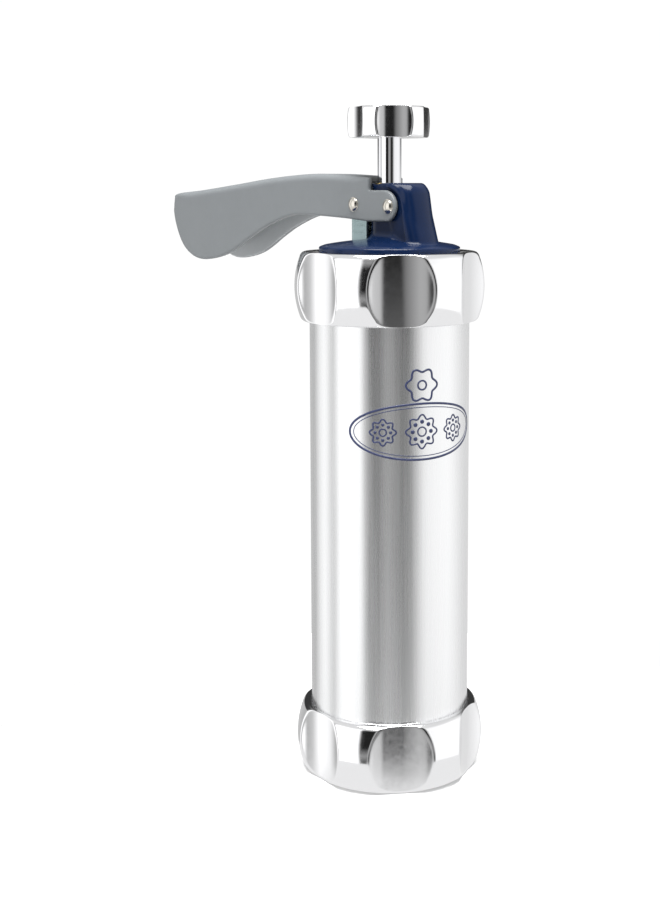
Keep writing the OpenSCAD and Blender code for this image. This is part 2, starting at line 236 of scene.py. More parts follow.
def new_mesh(name: str, points: np.ndarray, faces: Sequence[Sequence[int]]) -> bpy.types.Mesh:
    """Make a tidy mesh from points in millimetres.

    Args:
        name: Name of the mesh.
        points: Points as an array of shape (n, 3).
        faces: Point numbers of each face.

    Returns:
        The mesh, in metres.
    """
    mesh = bpy.data.meshes.new(name)
    mesh.from_pydata((np.asarray(points, float) * MM).tolist(), [], [list(map(int, f)) for f in faces])
    tidy_mesh(mesh)
    return mesh


def new_piece(name: str, mesh: bpy.types.Mesh, material: bpy.types.Material) -> bpy.types.Object:
    """Put a mesh in the scene as a piece with one material.

    Args:
        name: Name of the piece.
        mesh: Its mesh.
        material: Its material.

    Returns:
        The piece, at the origin.
    """
    piece = bpy.data.objects.new(name, mesh)
    bpy.context.scene.collection.objects.link(piece)
    mesh.materials.append(material)
    return piece


def crease(mesh: bpy.types.Mesh, degrees: float) -> None:
    """Mark edges sharper than an angle, so that smooth shading stops at them.

    Args:
        mesh: The mesh.
        degrees: The angle.
    """
    work = bmesh.new()
    work.from_mesh(mesh)
    for edge in work.edges:
        edge.smooth = len(edge.link_faces) == 2 and edge.calc_face_angle(0) < math.radians(degrees)
    work.to_mesh(mesh)
    work.free()


def arc(
    centre: tuple[float, float], radius: float, start: float, end: float, steps: int
) -> list[tuple[float, float]]:
    """Points along an arc.

    Args:
        centre: The arc's centre.
        radius: Its radius.
        start: First angle in degrees.
        end: Last angle in degrees.
        steps: Number of steps between the two ends.

    Returns:
        The arc's points, both ends included.
    """
    angles = np.radians(np.linspace(start, end, steps + 1))
    return [(centre[0] + radius * math.cos(a), centre[1] + radius * math.sin(a)) for a in angles]


def fillet(outline: Sequence[tuple[float, float, float]], steps: int = 6) -> list[tuple[float, float]]:
    """Round the corners of a closed outline.

    Args:
        outline: Corners as (x, y, radius), where a radius of 0 keeps the corner.
        steps: Steps of each round.

    Returns:
        The outline's points.
    """
    done: list[tuple[float, float]] = []
    count = len(outline)
    for i, (x, y, radius) in enumerate(outline):
        here = np.array((x, y))
        if radius <= 0:
            done.append((x, y))
            continue
        to_last = np.array(outline[i - 1][:2]) - here
        to_next = np.array(outline[(i + 1) % count][:2]) - here
        to_last = to_last / np.linalg.norm(to_last)
        to_next = to_next / np.linalg.norm(to_next)
        half = math.acos(float(np.clip(to_last @ to_next, -1, 1))) / 2
        reach = radius / math.tan(half)
        bisector = (to_last + to_next) / np.linalg.norm(to_last + to_next)
        centre = here + bisector * radius / math.sin(half)
        first, last = here + to_last * reach - centre, here + to_next * reach - centre
        sweep = math.atan2(first[0] * last[1] - first[1] * last[0], float(first @ last))
        start = math.atan2(first[1], first[0])
        for k in range(steps + 1):
            a = start + sweep * k / steps
            done.append((centre[0] + radius * math.cos(a), centre[1] + radius * math.sin(a)))
    return done


def lathe(name: str, outline: Sequence[tuple[float, float]], segments: int) -> bpy.types.Mesh:
    """Turn a closed outline of (radius, height) points round the Z axis.

    Args:
        name: Name of the mesh.
        outline: The outline's points. Points at radius 0 become one pole.
        segments: Steps round the axis.

    Returns:
        A closed mesh.
    """
    r, z = np.array(outline).T
    a = 2 * np.pi * np.arange(segments) / segments
    points = np.stack(
        [np.outer(np.cos(a), r), np.outer(np.sin(a), r), np.outer(np.ones(segments), z)], axis=-1
    ).reshape(-1, 3)
    n = len(outline)
    faces = []
    for i in range(segments):
        j = (i + 1) % segments
        for k in range(n):
            m = (k + 1) % n
            if r[k] < THIN and r[m] < THIN:
                continue
            faces.append((i * n + k, j * n + k, j * n + m, i * n + m))
    mesh = new_mesh(name, points, faces)
    work = bmesh.new()
    work.from_mesh(mesh)
    bmesh.ops.dissolve_degenerate(work, dist=MERGE / 20, edges=work.edges)
    work.to_mesh(mesh)
    work.free()
    return mesh


def catmull(points: Sequence[tuple[float, float]], steps: int) -> list[tuple[float, float]]:
    """A smooth curve through all but the first and last of the given points.

    Args:
        points: Points of the curve, with one more at each end that sets its direction.
        steps: Steps between two points.

    Returns:
        The curve's points.
    """
    p = np.array(points, float)
    done = []
    for i in range(1, len(p) - 2):
        a, b, c, d = p[i - 1], p[i], p[i + 1], p[i + 2]
        for k in range(steps):
            t = k / steps
            q = 2 * b + (c - a) * t + (2 * a - 5 * b + 4 * c - d) * t**2 + (3 * b - a - 3 * c + d) * t**3
            done.append(tuple(q / 2))
    return done


# ---------------------------------------------------------------- implicit solids


class Outline2D:
    """Signed distance to a closed outline in a plane, negative inside, read from a fine table."""

    def __init__(
        self, points: Sequence[tuple[float, float]], step: float = 0.25, margin: float = 6.0
    ) -> None:
        """Tabulate the distance.

        Args:
            points: The outline's points.
            step: Spacing of the table.
            margin: How far the table reaches past the outline.
        """
        p = np.array(points, float)
        self.low = p.min(0) - margin
        self.step = step
        counts = np.ceil((p.max(0) + margin - self.low) / step).astype(int) + 1
        gx = self.low[0] + step * np.arange(counts[0])
        gy = self.low[1] + step * np.arange(counts[1])
        x, y = np.meshgrid(gx, gy, indexing="ij")
        best = np.full(x.shape, np.inf)
        inside = np.zeros(x.shape, bool)
        for (ax, ay), (bx, by) in zip(p, np.roll(p, -1, axis=0)):
            ex, ey = bx - ax, by - ay
            square = ex * ex + ey * ey
            if square < THIN:
                continue
            t = np.clip(((x - ax) * ex + (y - ay) * ey) / square, 0, 1)
            best = np.minimum(best, np.hypot(x - ax - t * ex, y - ay - t * ey))
            if ay != by:
                crosses = ((ay > y) != (by > y)) & (x < ax + ex * (y - ay) / ey)
                inside ^= crosses
        self.table = np.where(inside, -best, best)

    def distance(self, x: np.ndarray, y: np.ndarray) -> np.ndarray:
        """Look the distance up, interpolated in the table.

        Args:
            x: First coordinate of the points.
            y: Second coordinate of the points.

        Returns:
            The signed distance of each point.
        """
        limit = np.array(self.table.shape) - 1.001
        u = np.clip((x - self.low[0]) / self.step, 0, limit[0])
        v = np.clip((y - self.low[1]) / self.step, 0, limit[1])
        i, j = u.astype(int), v.astype(int)
        u, v = u - i, v - j
        t = self.table
        lower = t[i, j] * (1 - u) + t[i + 1, j] * u
        upper = t[i, j + 1] * (1 - u) + t[i + 1, j + 1] * u
        return lower * (1 - v) + upper * v


def both(a: np.ndarray, b: np.ndarray, r: float | np.ndarray) -> np.ndarray:
    """Intersect two solids, with a rounded edge.

    Args:
        a: Signed distance to the first solid.
        b: Signed distance to the second solid.
        r: Radius of the edge.

    Returns:
        The signed distance to what both have in common.
    """
    return np.minimum(np.maximum(a, b), -r) + np.hypot(np.maximum(a + r, 0), np.maximum(b + r, 0))


def either(a: np.ndarray, b: np.ndarray, r: float | np.ndarray) -> np.ndarray:
    """Join two solids, with a fillet between them.

    Args:
        a: Signed distance to the first solid.
        b: Signed distance to the second solid.
        r: Radius of the fillet.

    Returns:
        The signed distance to both together.
    """
    return -both(-a, -b, r)


def without(a: np.ndarray, b: np.ndarray, r: float | np.ndarray) -> np.ndarray:
    """Cut the second solid from the first, with a rounded edge.

    Args:
        a: Signed distance to the solid that is cut.
        b: Signed distance to what is cut away.
        r: Radius of the cut's edge.

    Returns:
        The signed distance to what is left.
    """
    return both(a, -b, r)


def box_distance(p: np.ndarray, low: Sequence[float], high: Sequence[float]) -> np.ndarray:
    """Measure the distance to a box.

    Args:
        p: Points of shape (n, 3).
        low: The box's lowest corner.
        high: Its highest corner.

    Returns:
        The signed distance of each point.
    """
    centre, half = (np.array(low) + np.array(high)) / 2, (np.array(high) - np.array(low)) / 2
    q = np.abs(p - centre) - half
    return np.minimum(q.max(1), 0) + np.linalg.norm(np.maximum(q, 0), axis=1)


class ImplicitSolid:
    """A solid given by a signed distance field in millimetres, meshed with one point in each surface cell."""

    def __init__(self, field: Field, low: Sequence[float], high: Sequence[float], step: float) -> None:
        """Describe the solid.

        Args:
            field: Signed distance at points of shape (n, 3), negative inside.
            low: Lowest corner of the space that holds the solid.
            high: Highest corner of that space.
            step: Size of a cell.
        """
        self.field = field
        self.low = np.array(low, float)
        self.step = step
        self.counts = np.ceil((np.array(high, float) - self.low) / step).astype(int) + 1

    def mesh(self, name: str) -> bpy.types.Mesh:
        """Mesh the solid's surface.

        Args:
            name: Name of the mesh.

        Returns:
            A closed mesh of four-sided faces, in metres.
        """
        axes = [self.low[i] + self.step * np.arange(self.counts[i]) for i in range(3)]
        grid = np.stack(np.meshgrid(*axes, indexing="ij"), axis=-1)
        value = np.concatenate([self.field(layer.reshape(-1, 3)) for layer in grid]).reshape(self.counts)
        cells = tuple(self.counts - 1)
        total, hits = np.zeros(cells + (3,)), np.zeros(cells)
        quads = []
        for axis in range(3):
            u, v = (axis + 1) % 3, (axis + 2) % 3
            low_end = np.take(value, range(self.counts[axis] - 1), axis)
            high_end = np.take(value, range(1, self.counts[axis]), axis)
            edge = np.argwhere((low_end < 0) != (high_end < 0))
            edge = edge[(edge[:, u] > 0) & (edge[:, v] > 0)]
            edge = edge[(edge[:, u] < self.counts[u] - 1) & (edge[:, v] < self.counts[v] - 1)]
            a, b = low_end[tuple(edge.T)], high_end[tuple(edge.T)]
            point = grid[tuple(edge.T)].copy()
            point[:, axis] += self.step * a / (a - b)
            ring = []
            for du, dv in ((-1, -1), (0, -1), (0, 0), (-1, 0)):
                cell = edge.copy()
                cell[:, u] += du
                cell[:, v] += dv
                np.add.at(total, tuple(cell.T), point)
                np.add.at(hits, tuple(cell.T), 1)
                ring.append(cell)
            quad = np.stack(ring, axis=1)
            quads.append(np.where((a < 0)[:, None, None], quad, quad[:, ::-1]))
        number = np.full(cells, -1)
        used = hits > 0
        number[used] = np.arange(used.sum())
        points = total[used] / hits[used][:, None]
        quads = np.concatenate(quads)
        faces = number[quads[..., 0], quads[..., 1], quads[..., 2]]
        return new_mesh(name, self._settle(points), faces)

    def _settle(self, points: np.ndarray) -> np.ndarray:
        """Move points onto the field's zero surface, by no more than a third of a cell.

        Args:
            points: The points.

        Returns:
            The moved points.
        """
        start, reach = points.copy(), self.step / 3
        probe, flattest = 0.03, 0.25
        for _ in range(2):
            value = self.field(points)
            slope = np.stack(
                [(self.field(points + probe * axis) - value) / probe for axis in np.eye(3)], axis=1
            )
            points = points - slope * (value / np.maximum((slope**2).sum(1), flattest))[:, None]
            points = start + np.clip(points - start, -reach, reach)
        return points


# ---------------------------------------------------------------- finishes

NOISE_RANGE = (0.3, 0.7)
FINE_SHARE = 0.6
SMOOTHEST = 0.02


@dataclass(frozen=True)
class Finish:
    """A surface finish: colour, gloss, and the grain that a close look shows.

    Attributes:
        name: Name of the material.
        colour: Linear base colour.
        metallic: 1 for metal, 0 for plastic, paint and rubber.
        roughness: Middle roughness.
        spread: How far the roughness varies up and down.
        shade: How far the colour varies, as a share of it.
        grain: Scale of the pattern along X, Y and Z, per metre.
        bump: Height of the grain in metres.
        gloss: Strength of the surface reflection of what is not metal.
        ripple: Height of the broad waves in metres.
        ripple_scale: How many of those waves fit in a metre.
    """

    name: str
    colour: tuple[float, float, float]
    metallic: float
    roughness: float
    spread: float = 0.03
    shade: float = 0.05
    grain: tuple[float, float, float] = (300.0, 300.0, 300.0)
    bump: float = 0.00001
    gloss: float = 0.5
    ripple: float = 0.0
    ripple_scale: float = 60.0

    def material(self) -> bpy.types.Material:
        """Build the material, or return it if it was built before.

        Returns:
            The material.
        """
        found = bpy.data.materials.get(self.name)
        if found is not None:
            return found
        material = bpy.data.materials.new(self.name)
        material.use_nodes = True
        material.node_tree.nodes.clear()
        graph = Graph(material.node_tree)
        place = graph.add("ShaderNodeTexCoord").outputs["Object"]
        stretched = graph.add("ShaderNodeMapping", {"Vector": place, "Scale": self.grain})
        fine = graph.add(
            "ShaderNodeTexNoise",
            {"Vector": stretched.outputs[0], "Scale": 1.0, "Detail": 4.0, "Roughness": 0.6},
        )
        broad = graph.add("ShaderNodeTexNoise", {"Vector": place, "Scale": self.ripple_scale, "Detail": 2.0})
        low, high = max(self.roughness - self.spread, SMOOTHEST), self.roughness + self.spread
        rough = graph.span(fine.outputs[0], *NOISE_RANGE, low, high)
        dark = tuple(c * (1 - self.shade) for c in self.colour) + (1.0,)
        light = tuple(min(1.0, c * (1 + self.shade)) for c in self.colour) + (1.0,)
        waves = graph.math("MULTIPLY", broad.outputs[0], 1 - FINE_SHARE)
        mixed = graph.math("MULTIPLY_ADD", fine.outputs[0], FINE_SHARE, waves)
        tone = graph.add("ShaderNodeMix", {0: mixed, 6: dark, 7: light}, data_type="RGBA")
        normal = graph.add(
            "ShaderNodeBump", {"Height": fine.outputs[0], "Strength": 1.0, "Distance": self.bump}
        ).outputs[0]
        if self.ripple > 0:
            normal = graph.add(
                "ShaderNodeBump",
                {"Height": broad.outputs[0], "Strength": 1.0, "Distance": self.ripple, "Normal": normal},
            ).outputs[0]
        shader = graph.add(
            "ShaderNodeBsdfPrincipled",
            {
                "Base Color": tone.outputs[2],
                "Roughness": rough,
                "Normal": normal,
                "Metallic": self.metallic,
                "Specular IOR Level": self.gloss,
            },
        )
        graph.add("ShaderNodeOutputMaterial", {"Surface": shader.outputs[0]})
        return material


POLISHED = Finish(
    "polished_aluminium", (0.90, 0.90, 0.91), 1.0, 0.09, 0.02, 0.02, (500, 500, 500), 1.2e-6,
    ripple=0.00004, ripple_scale=45.0,
)
SATIN = Finish(
    "satin_aluminium", (0.83, 0.835, 0.84), 1.0, 0.27, 0.03, 0.04, (900, 900, 14), 4e-6,
    ripple=0.00005, ripple_scale=28.0,
)
NAVY = Finish(
    "navy_moulding", (0.0036, 0.0110, 0.039), 0.0, 0.19, 0.03, 0.04, (500, 500, 500), 1.5e-6, gloss=0.19,
)
DIE_CAST = Finish(
    "die_cast_grey", (0.146, 0.157, 0.164), 0.0, 0.42, 0.05, 0.10, (420, 420, 420), 1.2e-5,
    ripple=0.00006, ripple_scale=90.0,
)
# A paler copy of the die-cast grey, for the inner walls of the lever's channel: painted bounce light.
DIE_CAST_PAINTED_BOUNCE = Finish(
    "die_cast_painted_bounce_light", (0.31, 0.325, 0.335), 0.0, 0.50, 0.05, 0.10, (420, 420, 420), 1.2e-5,
)
ZINC = Finish("zinc_plated_sheet", (0.36, 0.46, 0.47), 0.9, 0.30, 0.08, 0.12, (260, 260, 900), 5e-6)
NICKEL = Finish("nickel_rivet", (0.66, 0.63, 0.57), 1.0, 0.17, 0.05, 0.08, (600, 600, 600), 3e-6)
CHROME = Finish("bright_rod", (0.80, 0.80, 0.82), 1.0, 0.07, 0.02, 0.02, (1500, 1500, 60), 1e-6)
STEEL = Finish("bare_steel", (0.45, 0.46, 0.48), 1.0, 0.32, 0.06, 0.10, (500, 60, 500), 4e-6)
SPRING = Finish("spring_wire", (0.35, 0.36, 0.38), 1.0, 0.28, 0.05, 0.10, (400, 400, 400), 3e-6)
BRASS = Finish("turned_brass", (0.70, 0.52, 0.22), 1.0, 0.25, 0.05, 0.06, (60, 60, 1500), 4e-6)
STAMPED = Finish("stamped_aluminium", (0.74, 0.75, 0.76), 1.0, 0.30, 0.05, 0.05, (1200, 30, 200), 5e-6)
RUBBER = Finish("seal_rubber", (0.02, 0.02, 0.022), 0.0, 0.55, 0.08, 0.15, (500, 500, 500), 1e-5)
INK = Finish("navy_ink", (0.022, 0.030, 0.085), 0.0, 0.38, 0.04, 0.12, (900, 900, 900), 2e-6)


# ---------------------------------------------------------------- scalloped nuts and knob


@dataclass
class ScallopedTurning:
    """A barrel-shaped turning with finger scallops round it: a ring nut or the knob.

    Attributes:
        node: CAD node that it stands for.
        body: Body that it rides on.
        slot: Material slot; not used.
        radius: Largest radius, at half height.
        belly: Radius of the belly's curve, seen from the side.
        edge: Radius of the round between the belly and the flat ends.
        bore: Radius of the bore.
        bore_depth: Depth of the bore from the open end.
        hole: Radius of the hole in the closed end, or 0.
        lip_up: Whether the closed end is on top.
        scallops: Number of scallops.
        cut: Distance from the axis to the bottom of a scallop.
        cut_radius: Radius of a scallop's hollow.
        turn: Angle of the first scallop, in degrees.
        soft: Width of the rounded edge round a scallop.
        lower_edge: Radius of the round at the bottom, where it differs from edge.
        segments: Steps round the axis.
        hole_round: Radius of the round at the hole.
        step_round: Radius of the round between bore and closed end.
        mouth_round: Radius of the round at the bore's mouth.
        blend: How much of an end's round the belly gives up.
    """

    node: str
    body: str
    slot: Slot
    radius: float
    belly: float
    edge: float
    bore: float
    bore_depth: float
    hole: float
    lip_up: bool
    scallops: int
    cut: float
    cut_radius: float
    turn: float
    soft: float
    lower_edge: float = 0.0
    segments: int = 420
    hole_round: float = 0.35
    step_round: float = 0.2
    mouth_round: float = 0.3
    blend: float = 0.9

    def blank(self) -> bpy.types.Mesh:
        """Turn the blank, with no scallops yet.

        Returns:
            The blank's mesh, in its place.
        """
        low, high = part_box(self.node)
        z0, z1 = low.z / MM, high.z / MM
        height = z1 - z0
        lower, upper = self.lower_edge or self.edge, self.edge
        bottom = -math.degrees(math.asin((height / 2 - lower * self.blend) / self.belly))
        top = math.degrees(math.asin((height / 2 - upper * self.blend) / self.belly))
        wall = arc((self.radius - self.belly, height / 2), self.belly, bottom, top, 26)
        skin = self.end_round(wall[0], lower, bottom) + wall[1:-1]
        upper_end = self.end_round((wall[-1][0], height - wall[-1][1]), upper, -top)
        skin += [(r, height - z) for r, z in reversed(upper_end)]
        closed_z, open_z = (height, 0.0) if self.lip_up else (0.0, height)
        bore_z = open_z + (self.bore_depth if self.lip_up else -self.bore_depth)
        lip, step = (self.hole_round, self.step_round) if self.hole > 0 else (0.0, 0.0)
        inner = [(self.hole, closed_z, lip), (self.hole, bore_z, step)]
        inner += [(self.bore, bore_z, self.step_round), (self.bore, open_z, self.mouth_round)]
        if not self.lip_up:
            inner.reverse()
        turned = [(r, z, 0.0) for r, z in skin] + inner
        outline = [(r, z0 + z) for r, z in fillet(turned, 4)]
        return lathe(self.node, outline, self.segments)

    @staticmethod
    def end_round(end: tuple[float, float], edge: float, slope: float) -> list[tuple[float, float]]:
        """Points of the round between the flat bottom and the belly.

        Args:
            end: Where the belly ends.
            edge: Radius of the round.
            slope: The belly's direction there, in degrees.

        Returns:
            The points, from the flat bottom outwards.
        """
        a = math.radians(slope)
        centre = (end[0] - edge * math.cos(a), end[1] - edge * math.sin(a))
        shift = centre[1] - edge
        rounded = arc(centre, edge, -90, slope, 12)
        return [(r, z - shift * (end[1] - z) / (end[1] - shift)) for r, z in rounded]

    @staticmethod
    def tree() -> NodeModel:
        """Build the tree that cuts the scallops: each point is drawn in to the nearest scallop's hollow.

        Returns:
            The tree.
        """
        model = NodeModel("scallop_cutter")
        g = model.graph
        count, turn = model.named("Scallops", "NodeSocketInt"), model.named("Turn")
        cut, cut_r = model.named("Cut distance"), model.named("Cut radius")
        soft = model.named("Softness")
        spot = g.add("GeometryNodeInputPosition").outputs[0]
        split = g.add("ShaderNodeSeparateXYZ", {0: spot})
        x, y, z = split.outputs
        radius = g.math("SQRT", g.math("ADD", g.math("MULTIPLY", x, x), g.math("MULTIPLY", y, y)))
        angle = g.math("SUBTRACT", g.math("ARCTAN2", y, x), turn)
        sector = g.math("DIVIDE", 2 * math.pi, count)
        turns = g.math("ROUND", g.math("DIVIDE", angle, sector))
        away = g.math("SUBTRACT", angle, g.math("MULTIPLY", turns, sector))
        centre = g.math("ADD", cut, cut_r)
        sideways = g.math("MULTIPLY", centre, g.math("SINE", away))
        under = g.math("SUBTRACT", g.math("MULTIPLY", cut_r, cut_r), g.math("MULTIPLY", sideways, sideways))
        depth = g.math("SQRT", g.math("MAXIMUM", under, 0.0))
        wall = g.math("SUBTRACT", g.math("MULTIPLY", centre, g.math("COSINE", away)), depth)
        drawn = g.math("SMOOTH_MIN", radius, wall, soft)
        share = g.math("DIVIDE", drawn, g.math("MAXIMUM", radius, MERGE))
        new_x, new_y = g.math("MULTIPLY", x, share), g.math("MULTIPLY", y, share)
        moved = g.add("ShaderNodeCombineXYZ", {0: new_x, 1: new_y, 2: z})
        shaped = g.add("GeometryNodeSetPosition", {"Geometry": model.geometry, "Position": moved.outputs[0]})
        model.close(shaped.outputs[0])
        return model

    def build(self, cutter: NodeModel, material: bpy.types.Material) -> bpy.types.Object:
        """Cut the scallops and put the piece on its body.

        Args:
            cutter: The scallop tree.
            material: The piece's material.

        Returns:
            The finished piece.
        """
        values = {
            "Material": material,
            "Scallops": self.scallops,
            "Turn": math.radians(self.turn),
            "Cut distance": self.cut * MM,
            "Cut radius": self.cut_radius * MM,
            "Softness": self.soft * MM,
        }
        piece = cutter.make(self.node + "_turning", self.blank(), values)
        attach(piece, self.body)
        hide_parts(self.node)
        return piece


# ---------------------------------------------------------------- barrel


@dataclass
class Barrel:
    """The tube with its two threaded ends, and the printed emblem on its wall.

    Attributes:
        radius: Outer radius of the tube.
        wall: Its wall thickness.
        thread_depth: Depth of the thread.
        pitch: Height of one turn of the thread.
        thread_length: Length of the threaded stretch at each end.
        emblem_angle: Plan angle of the emblem's middle, in degrees.
        emblem_z: Height of the middle of the emblem's oval.
        ink: Thickness of the ink.
        sunk: How deep the ink reaches into the wall.
        segments: Steps round the axis.
        soft: Radius of the rounded edges at the tube's ends.
        run_out: Length over which the thread fades out, on the barrel's side.
        lead_in: Length over which it starts, from the tube's end.
    """

    radius: float = 27.4
    wall: float = 1.7
    thread_depth: float = 0.45
    pitch: float = 3.0
    thread_length: float = 11.0
    emblem_angle: float = -22.0
    emblem_z: float = 122.8
    ink: float = 0.05
    sunk: float = 0.02
    segments: int = 192
    soft: float = 0.3
    run_out: float = 2.0
    lead_in: float = 0.6

    def tube_mesh(self) -> bpy.types.Mesh:
        """Turn the tube, with a helical groove near both ends.

        Returns:
            The tube's mesh.
        """
        low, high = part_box("barrel_tube")
        z0, z1 = low.z / MM, high.z / MM
        first, rows_per_turn = z0 + 0.5, 12
        threaded = np.arange(first, first + self.thread_length, self.pitch / rows_per_turn)
        plain = np.linspace(threaded[-1] + 1, z1 - z0 - threaded[-1] - 1, 24)
        stations = np.concatenate([threaded, plain, (z0 + z1 - threaded)[::-1]])
        outline = [(self.radius, z) for z in stations]
        outer, inner = self.radius - self.soft, self.radius - self.wall + self.soft
        upper, lower = z1 - self.soft, z0 + self.soft
        quarters = ((outer, upper, 0), (inner, upper, 90), (inner, lower, 180), (outer, lower, 270))
        for r, z, start in quarters:
            outline += arc((r, z), self.soft, start, start + 90, 4)
        mesh = lathe("barrel_tube_skin", outline, self.segments)
        co = np.array([v.co for v in mesh.vertices]) / MM
        r, angle, z = np.hypot(co[:, 0], co[:, 1]), np.arctan2(co[:, 1], co[:, 0]), co[:, 2]
        from_end = np.minimum(z - z0, z1 - z)
        fade = np.clip((self.thread_length - from_end) / self.run_out, 0, 1)
        fade *= np.clip((from_end - self.lead_in) / self.lead_in, 0, 1)
        wave = 0.5 + 0.8 * np.cos(2 * np.pi * z / self.pitch - angle)
        groove = self.thread_depth * fade * np.clip(wave, 0, 1) * (r > self.radius - 0.01)
        share = (r - groove) / r
        co[:, 0] *= share
        co[:, 1] *= share
        mesh.vertices.foreach_set("co", (co * MM).astype(np.float32).ravel())
        mesh.update()
        return mesh

    def line(
        self, path: Sequence[tuple[float, float]], width: float
    ) -> tuple[np.ndarray, list[tuple[int, ...]]]:
        """A closed printed line that lies flat, with the ink's thickness.

        Args:
            path: Points of the line's middle, in millimetres along the wall and up.
            width: Width of the line.

        Returns:
            Points and faces of the line.
        """
        p = np.array(path)
        ahead = np.roll(p, -1, axis=0) - np.roll(p, 1, axis=0)
        side = np.stack([ahead[:, 1], -ahead[:, 0]], axis=1) / np.linalg.norm(ahead, axis=1)[:, None]
        left, right = p + side * width / 2, p - side * width / 2
        n = len(p)
        section = ((left, -self.sunk), (left, self.ink), (right, self.ink), (right, -self.sunk))
        points = np.concatenate([np.column_stack([edge, np.full(n, h)]) for edge, h in section])
        faces = []
        for k in range(len(section)):
            here, there = k * n, (k + 1) % len(section) * n
            faces += [(here + i, here + (i + 1) % n, there + (i + 1) % n, there + i) for i in range(n)]
        return points, faces

    def emblem_mesh(self) -> bpy.types.Mesh:
        """Draw the emblem flat: an oval border with three flower biscuits, and a larger one above.

        Returns:
            The flat emblem, x along the wall, y up and z out of it.
        """
        turn = np.linspace(0, 2 * np.pi, 181)[:-1]

        def oval(cx: float, cy: float, rx: float, ry: float) -> list[tuple[float, float]]:
            """Trace an oval round a middle."""
            return [(cx + rx * math.cos(t), cy + ry * math.sin(t)) for t in turn]

        def flower(cx: float, cy: float, r: float, petals: int) -> list[tuple[float, float]]:
            """Trace a wavy circle round a middle."""
            wavy = [(t, r * (1 + waviness * math.cos(petals * t))) for t in turn]
            return [(cx + reach * math.cos(t), cy + reach * math.sin(t)) for t, reach in wavy]

        waviness, petals, top_petals = 0.13, 8, 6
        border, hairline = 0.75, 0.28
        side_x, side_r, middle_r = 13.2, 3.9, 5.0
        top_y, top_r, top_eye = 15.4, 5.0, 1.5
        eye, dot, dot_circle = 0.3, 0.07, 0.66
        lines = [self.line(oval(0, 0, 24.6, 9.3), border), self.line(oval(0, 0, 23.2, 8.1), hairline)]
        for cx, r in ((-side_x, side_r), (0.0, middle_r), (side_x, side_r)):
            lines.append(self.line(flower(cx, 0, r, petals), 0.55))
            lines.append(self.line(oval(cx, 0, r * eye, r * eye), 0.5))
            for k in range(petals):
                a = 2 * math.pi * k / petals
                x, y = cx + dot_circle * r * math.cos(a), dot_circle * r * math.sin(a)
                lines.append(self.line(oval(x, y, r * dot, r * dot), r * 2 * dot))
        lines.append(self.line(flower(0, top_y, top_r, top_petals), 0.7))
        lines.append(self.line(oval(0, top_y, top_eye, top_eye), 0.6))
        points, faces, start = [], [], 0
        for p, f in lines:
            points.append(p)
            faces += [tuple(i + start for i in face) for face in f]
            start += len(p)
        return new_mesh("emblem_flat", np.concatenate(points), faces)

    @staticmethod
    def wrapper() -> NodeModel:
        """Build the tree that wraps a flat drawing round a cylinder.

        Returns:
            The tree.
        """
        model = NodeModel("wall_wrapper")
        g = model.graph
        radius, middle = model.named("Radius"), model.named("Middle angle")
        height = model.named("Height")
        split = g.add("ShaderNodeSeparateXYZ", {0: g.add("GeometryNodeInputPosition").outputs[0]})
        x, y, z = split.outputs
        angle = g.math("ADD", g.math("DIVIDE", x, radius), middle)
        reach = g.math("ADD", radius, z)
        moved = g.add(
            "ShaderNodeCombineXYZ",
            {
                0: g.math("MULTIPLY", reach, g.math("COSINE", angle)),
                1: g.math("MULTIPLY", reach, g.math("SINE", angle)),
                2: g.math("ADD", y, height),
            },
        )
        shaped = g.add("GeometryNodeSetPosition", {"Geometry": model.geometry, "Position": moved.outputs[0]})
        model.close(shaped.outputs[0])
        return model

    def build(self) -> list[bpy.types.Object]:
        """Make the tube and its emblem.

        Returns:
            Both pieces.
        """
        tube = new_piece("tube_wall", self.tube_mesh(), SATIN.material())
        crease(tube.data, 50)
        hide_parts("barrel_tube")
        values = {
            "Material": INK.material(),
            "Radius": self.radius * MM,
            "Middle angle": math.radians(self.emblem_angle),
            "Height": self.emblem_z * MM,
        }
        emblem = self.wrapper().make("printed_emblem", self.emblem_mesh(), values)
        for piece in (tube, emblem):
            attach(piece, "barrel")
        return [tube, emblem]


@dataclass
class FormingDisc:
    """The stamped disc with a flower of round holes.

    Attributes:
        petals: Number of holes round the middle one.
        petal_radius: Radius of each.
        petal_circle: Distance of their centres from the axis.
        centre_radius: Radius of the middle hole.
        edge: Radius of the rolled edges.
    """

    petals: int = 6
    petal_radius: float = 3.0
    petal_circle: float = 9.5
    centre_radius: float = 2.6
    edge: float = 0.3

    def build(self) -> bpy.types.Object:
        """Make the disc with rolled edges round the rim and the holes.

        Returns:
            The disc.
        """
        low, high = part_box("forming_disc")
        z0, z1, radius = low.z / MM, high.z / MM, high.x / MM

        def field(p: np.ndarray) -> np.ndarray:
            """Give the signed distance to the disc."""
            flat = np.hypot(p[:, 0], p[:, 1]) - radius
            for k in range(self.petals):
                a = 2 * math.pi * k / self.petals
                x, y = self.petal_circle * math.cos(a), self.petal_circle * math.sin(a)
                flat = np.maximum(flat, self.petal_radius - np.hypot(p[:, 0] - x, p[:, 1] - y))
            flat = np.maximum(flat, self.centre_radius - np.hypot(p[:, 0], p[:, 1]))
            across = np.abs(p[:, 2] - (z0 + z1) / 2) - (z1 - z0) / 2
            return both(flat, across, self.edge)

        wide = radius + 1
        solid = ImplicitSolid(field, (-wide, -wide, z0 - 0.8), (wide, wide, z1 + 0.8), 0.4)
        disc = new_piece("stamped_disc", solid.mesh("stamped_disc"), STAMPED.material())
        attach(disc, "disc")
        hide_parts("forming_disc")
        return disc


# ---------------------------------------------------------------- lever and link


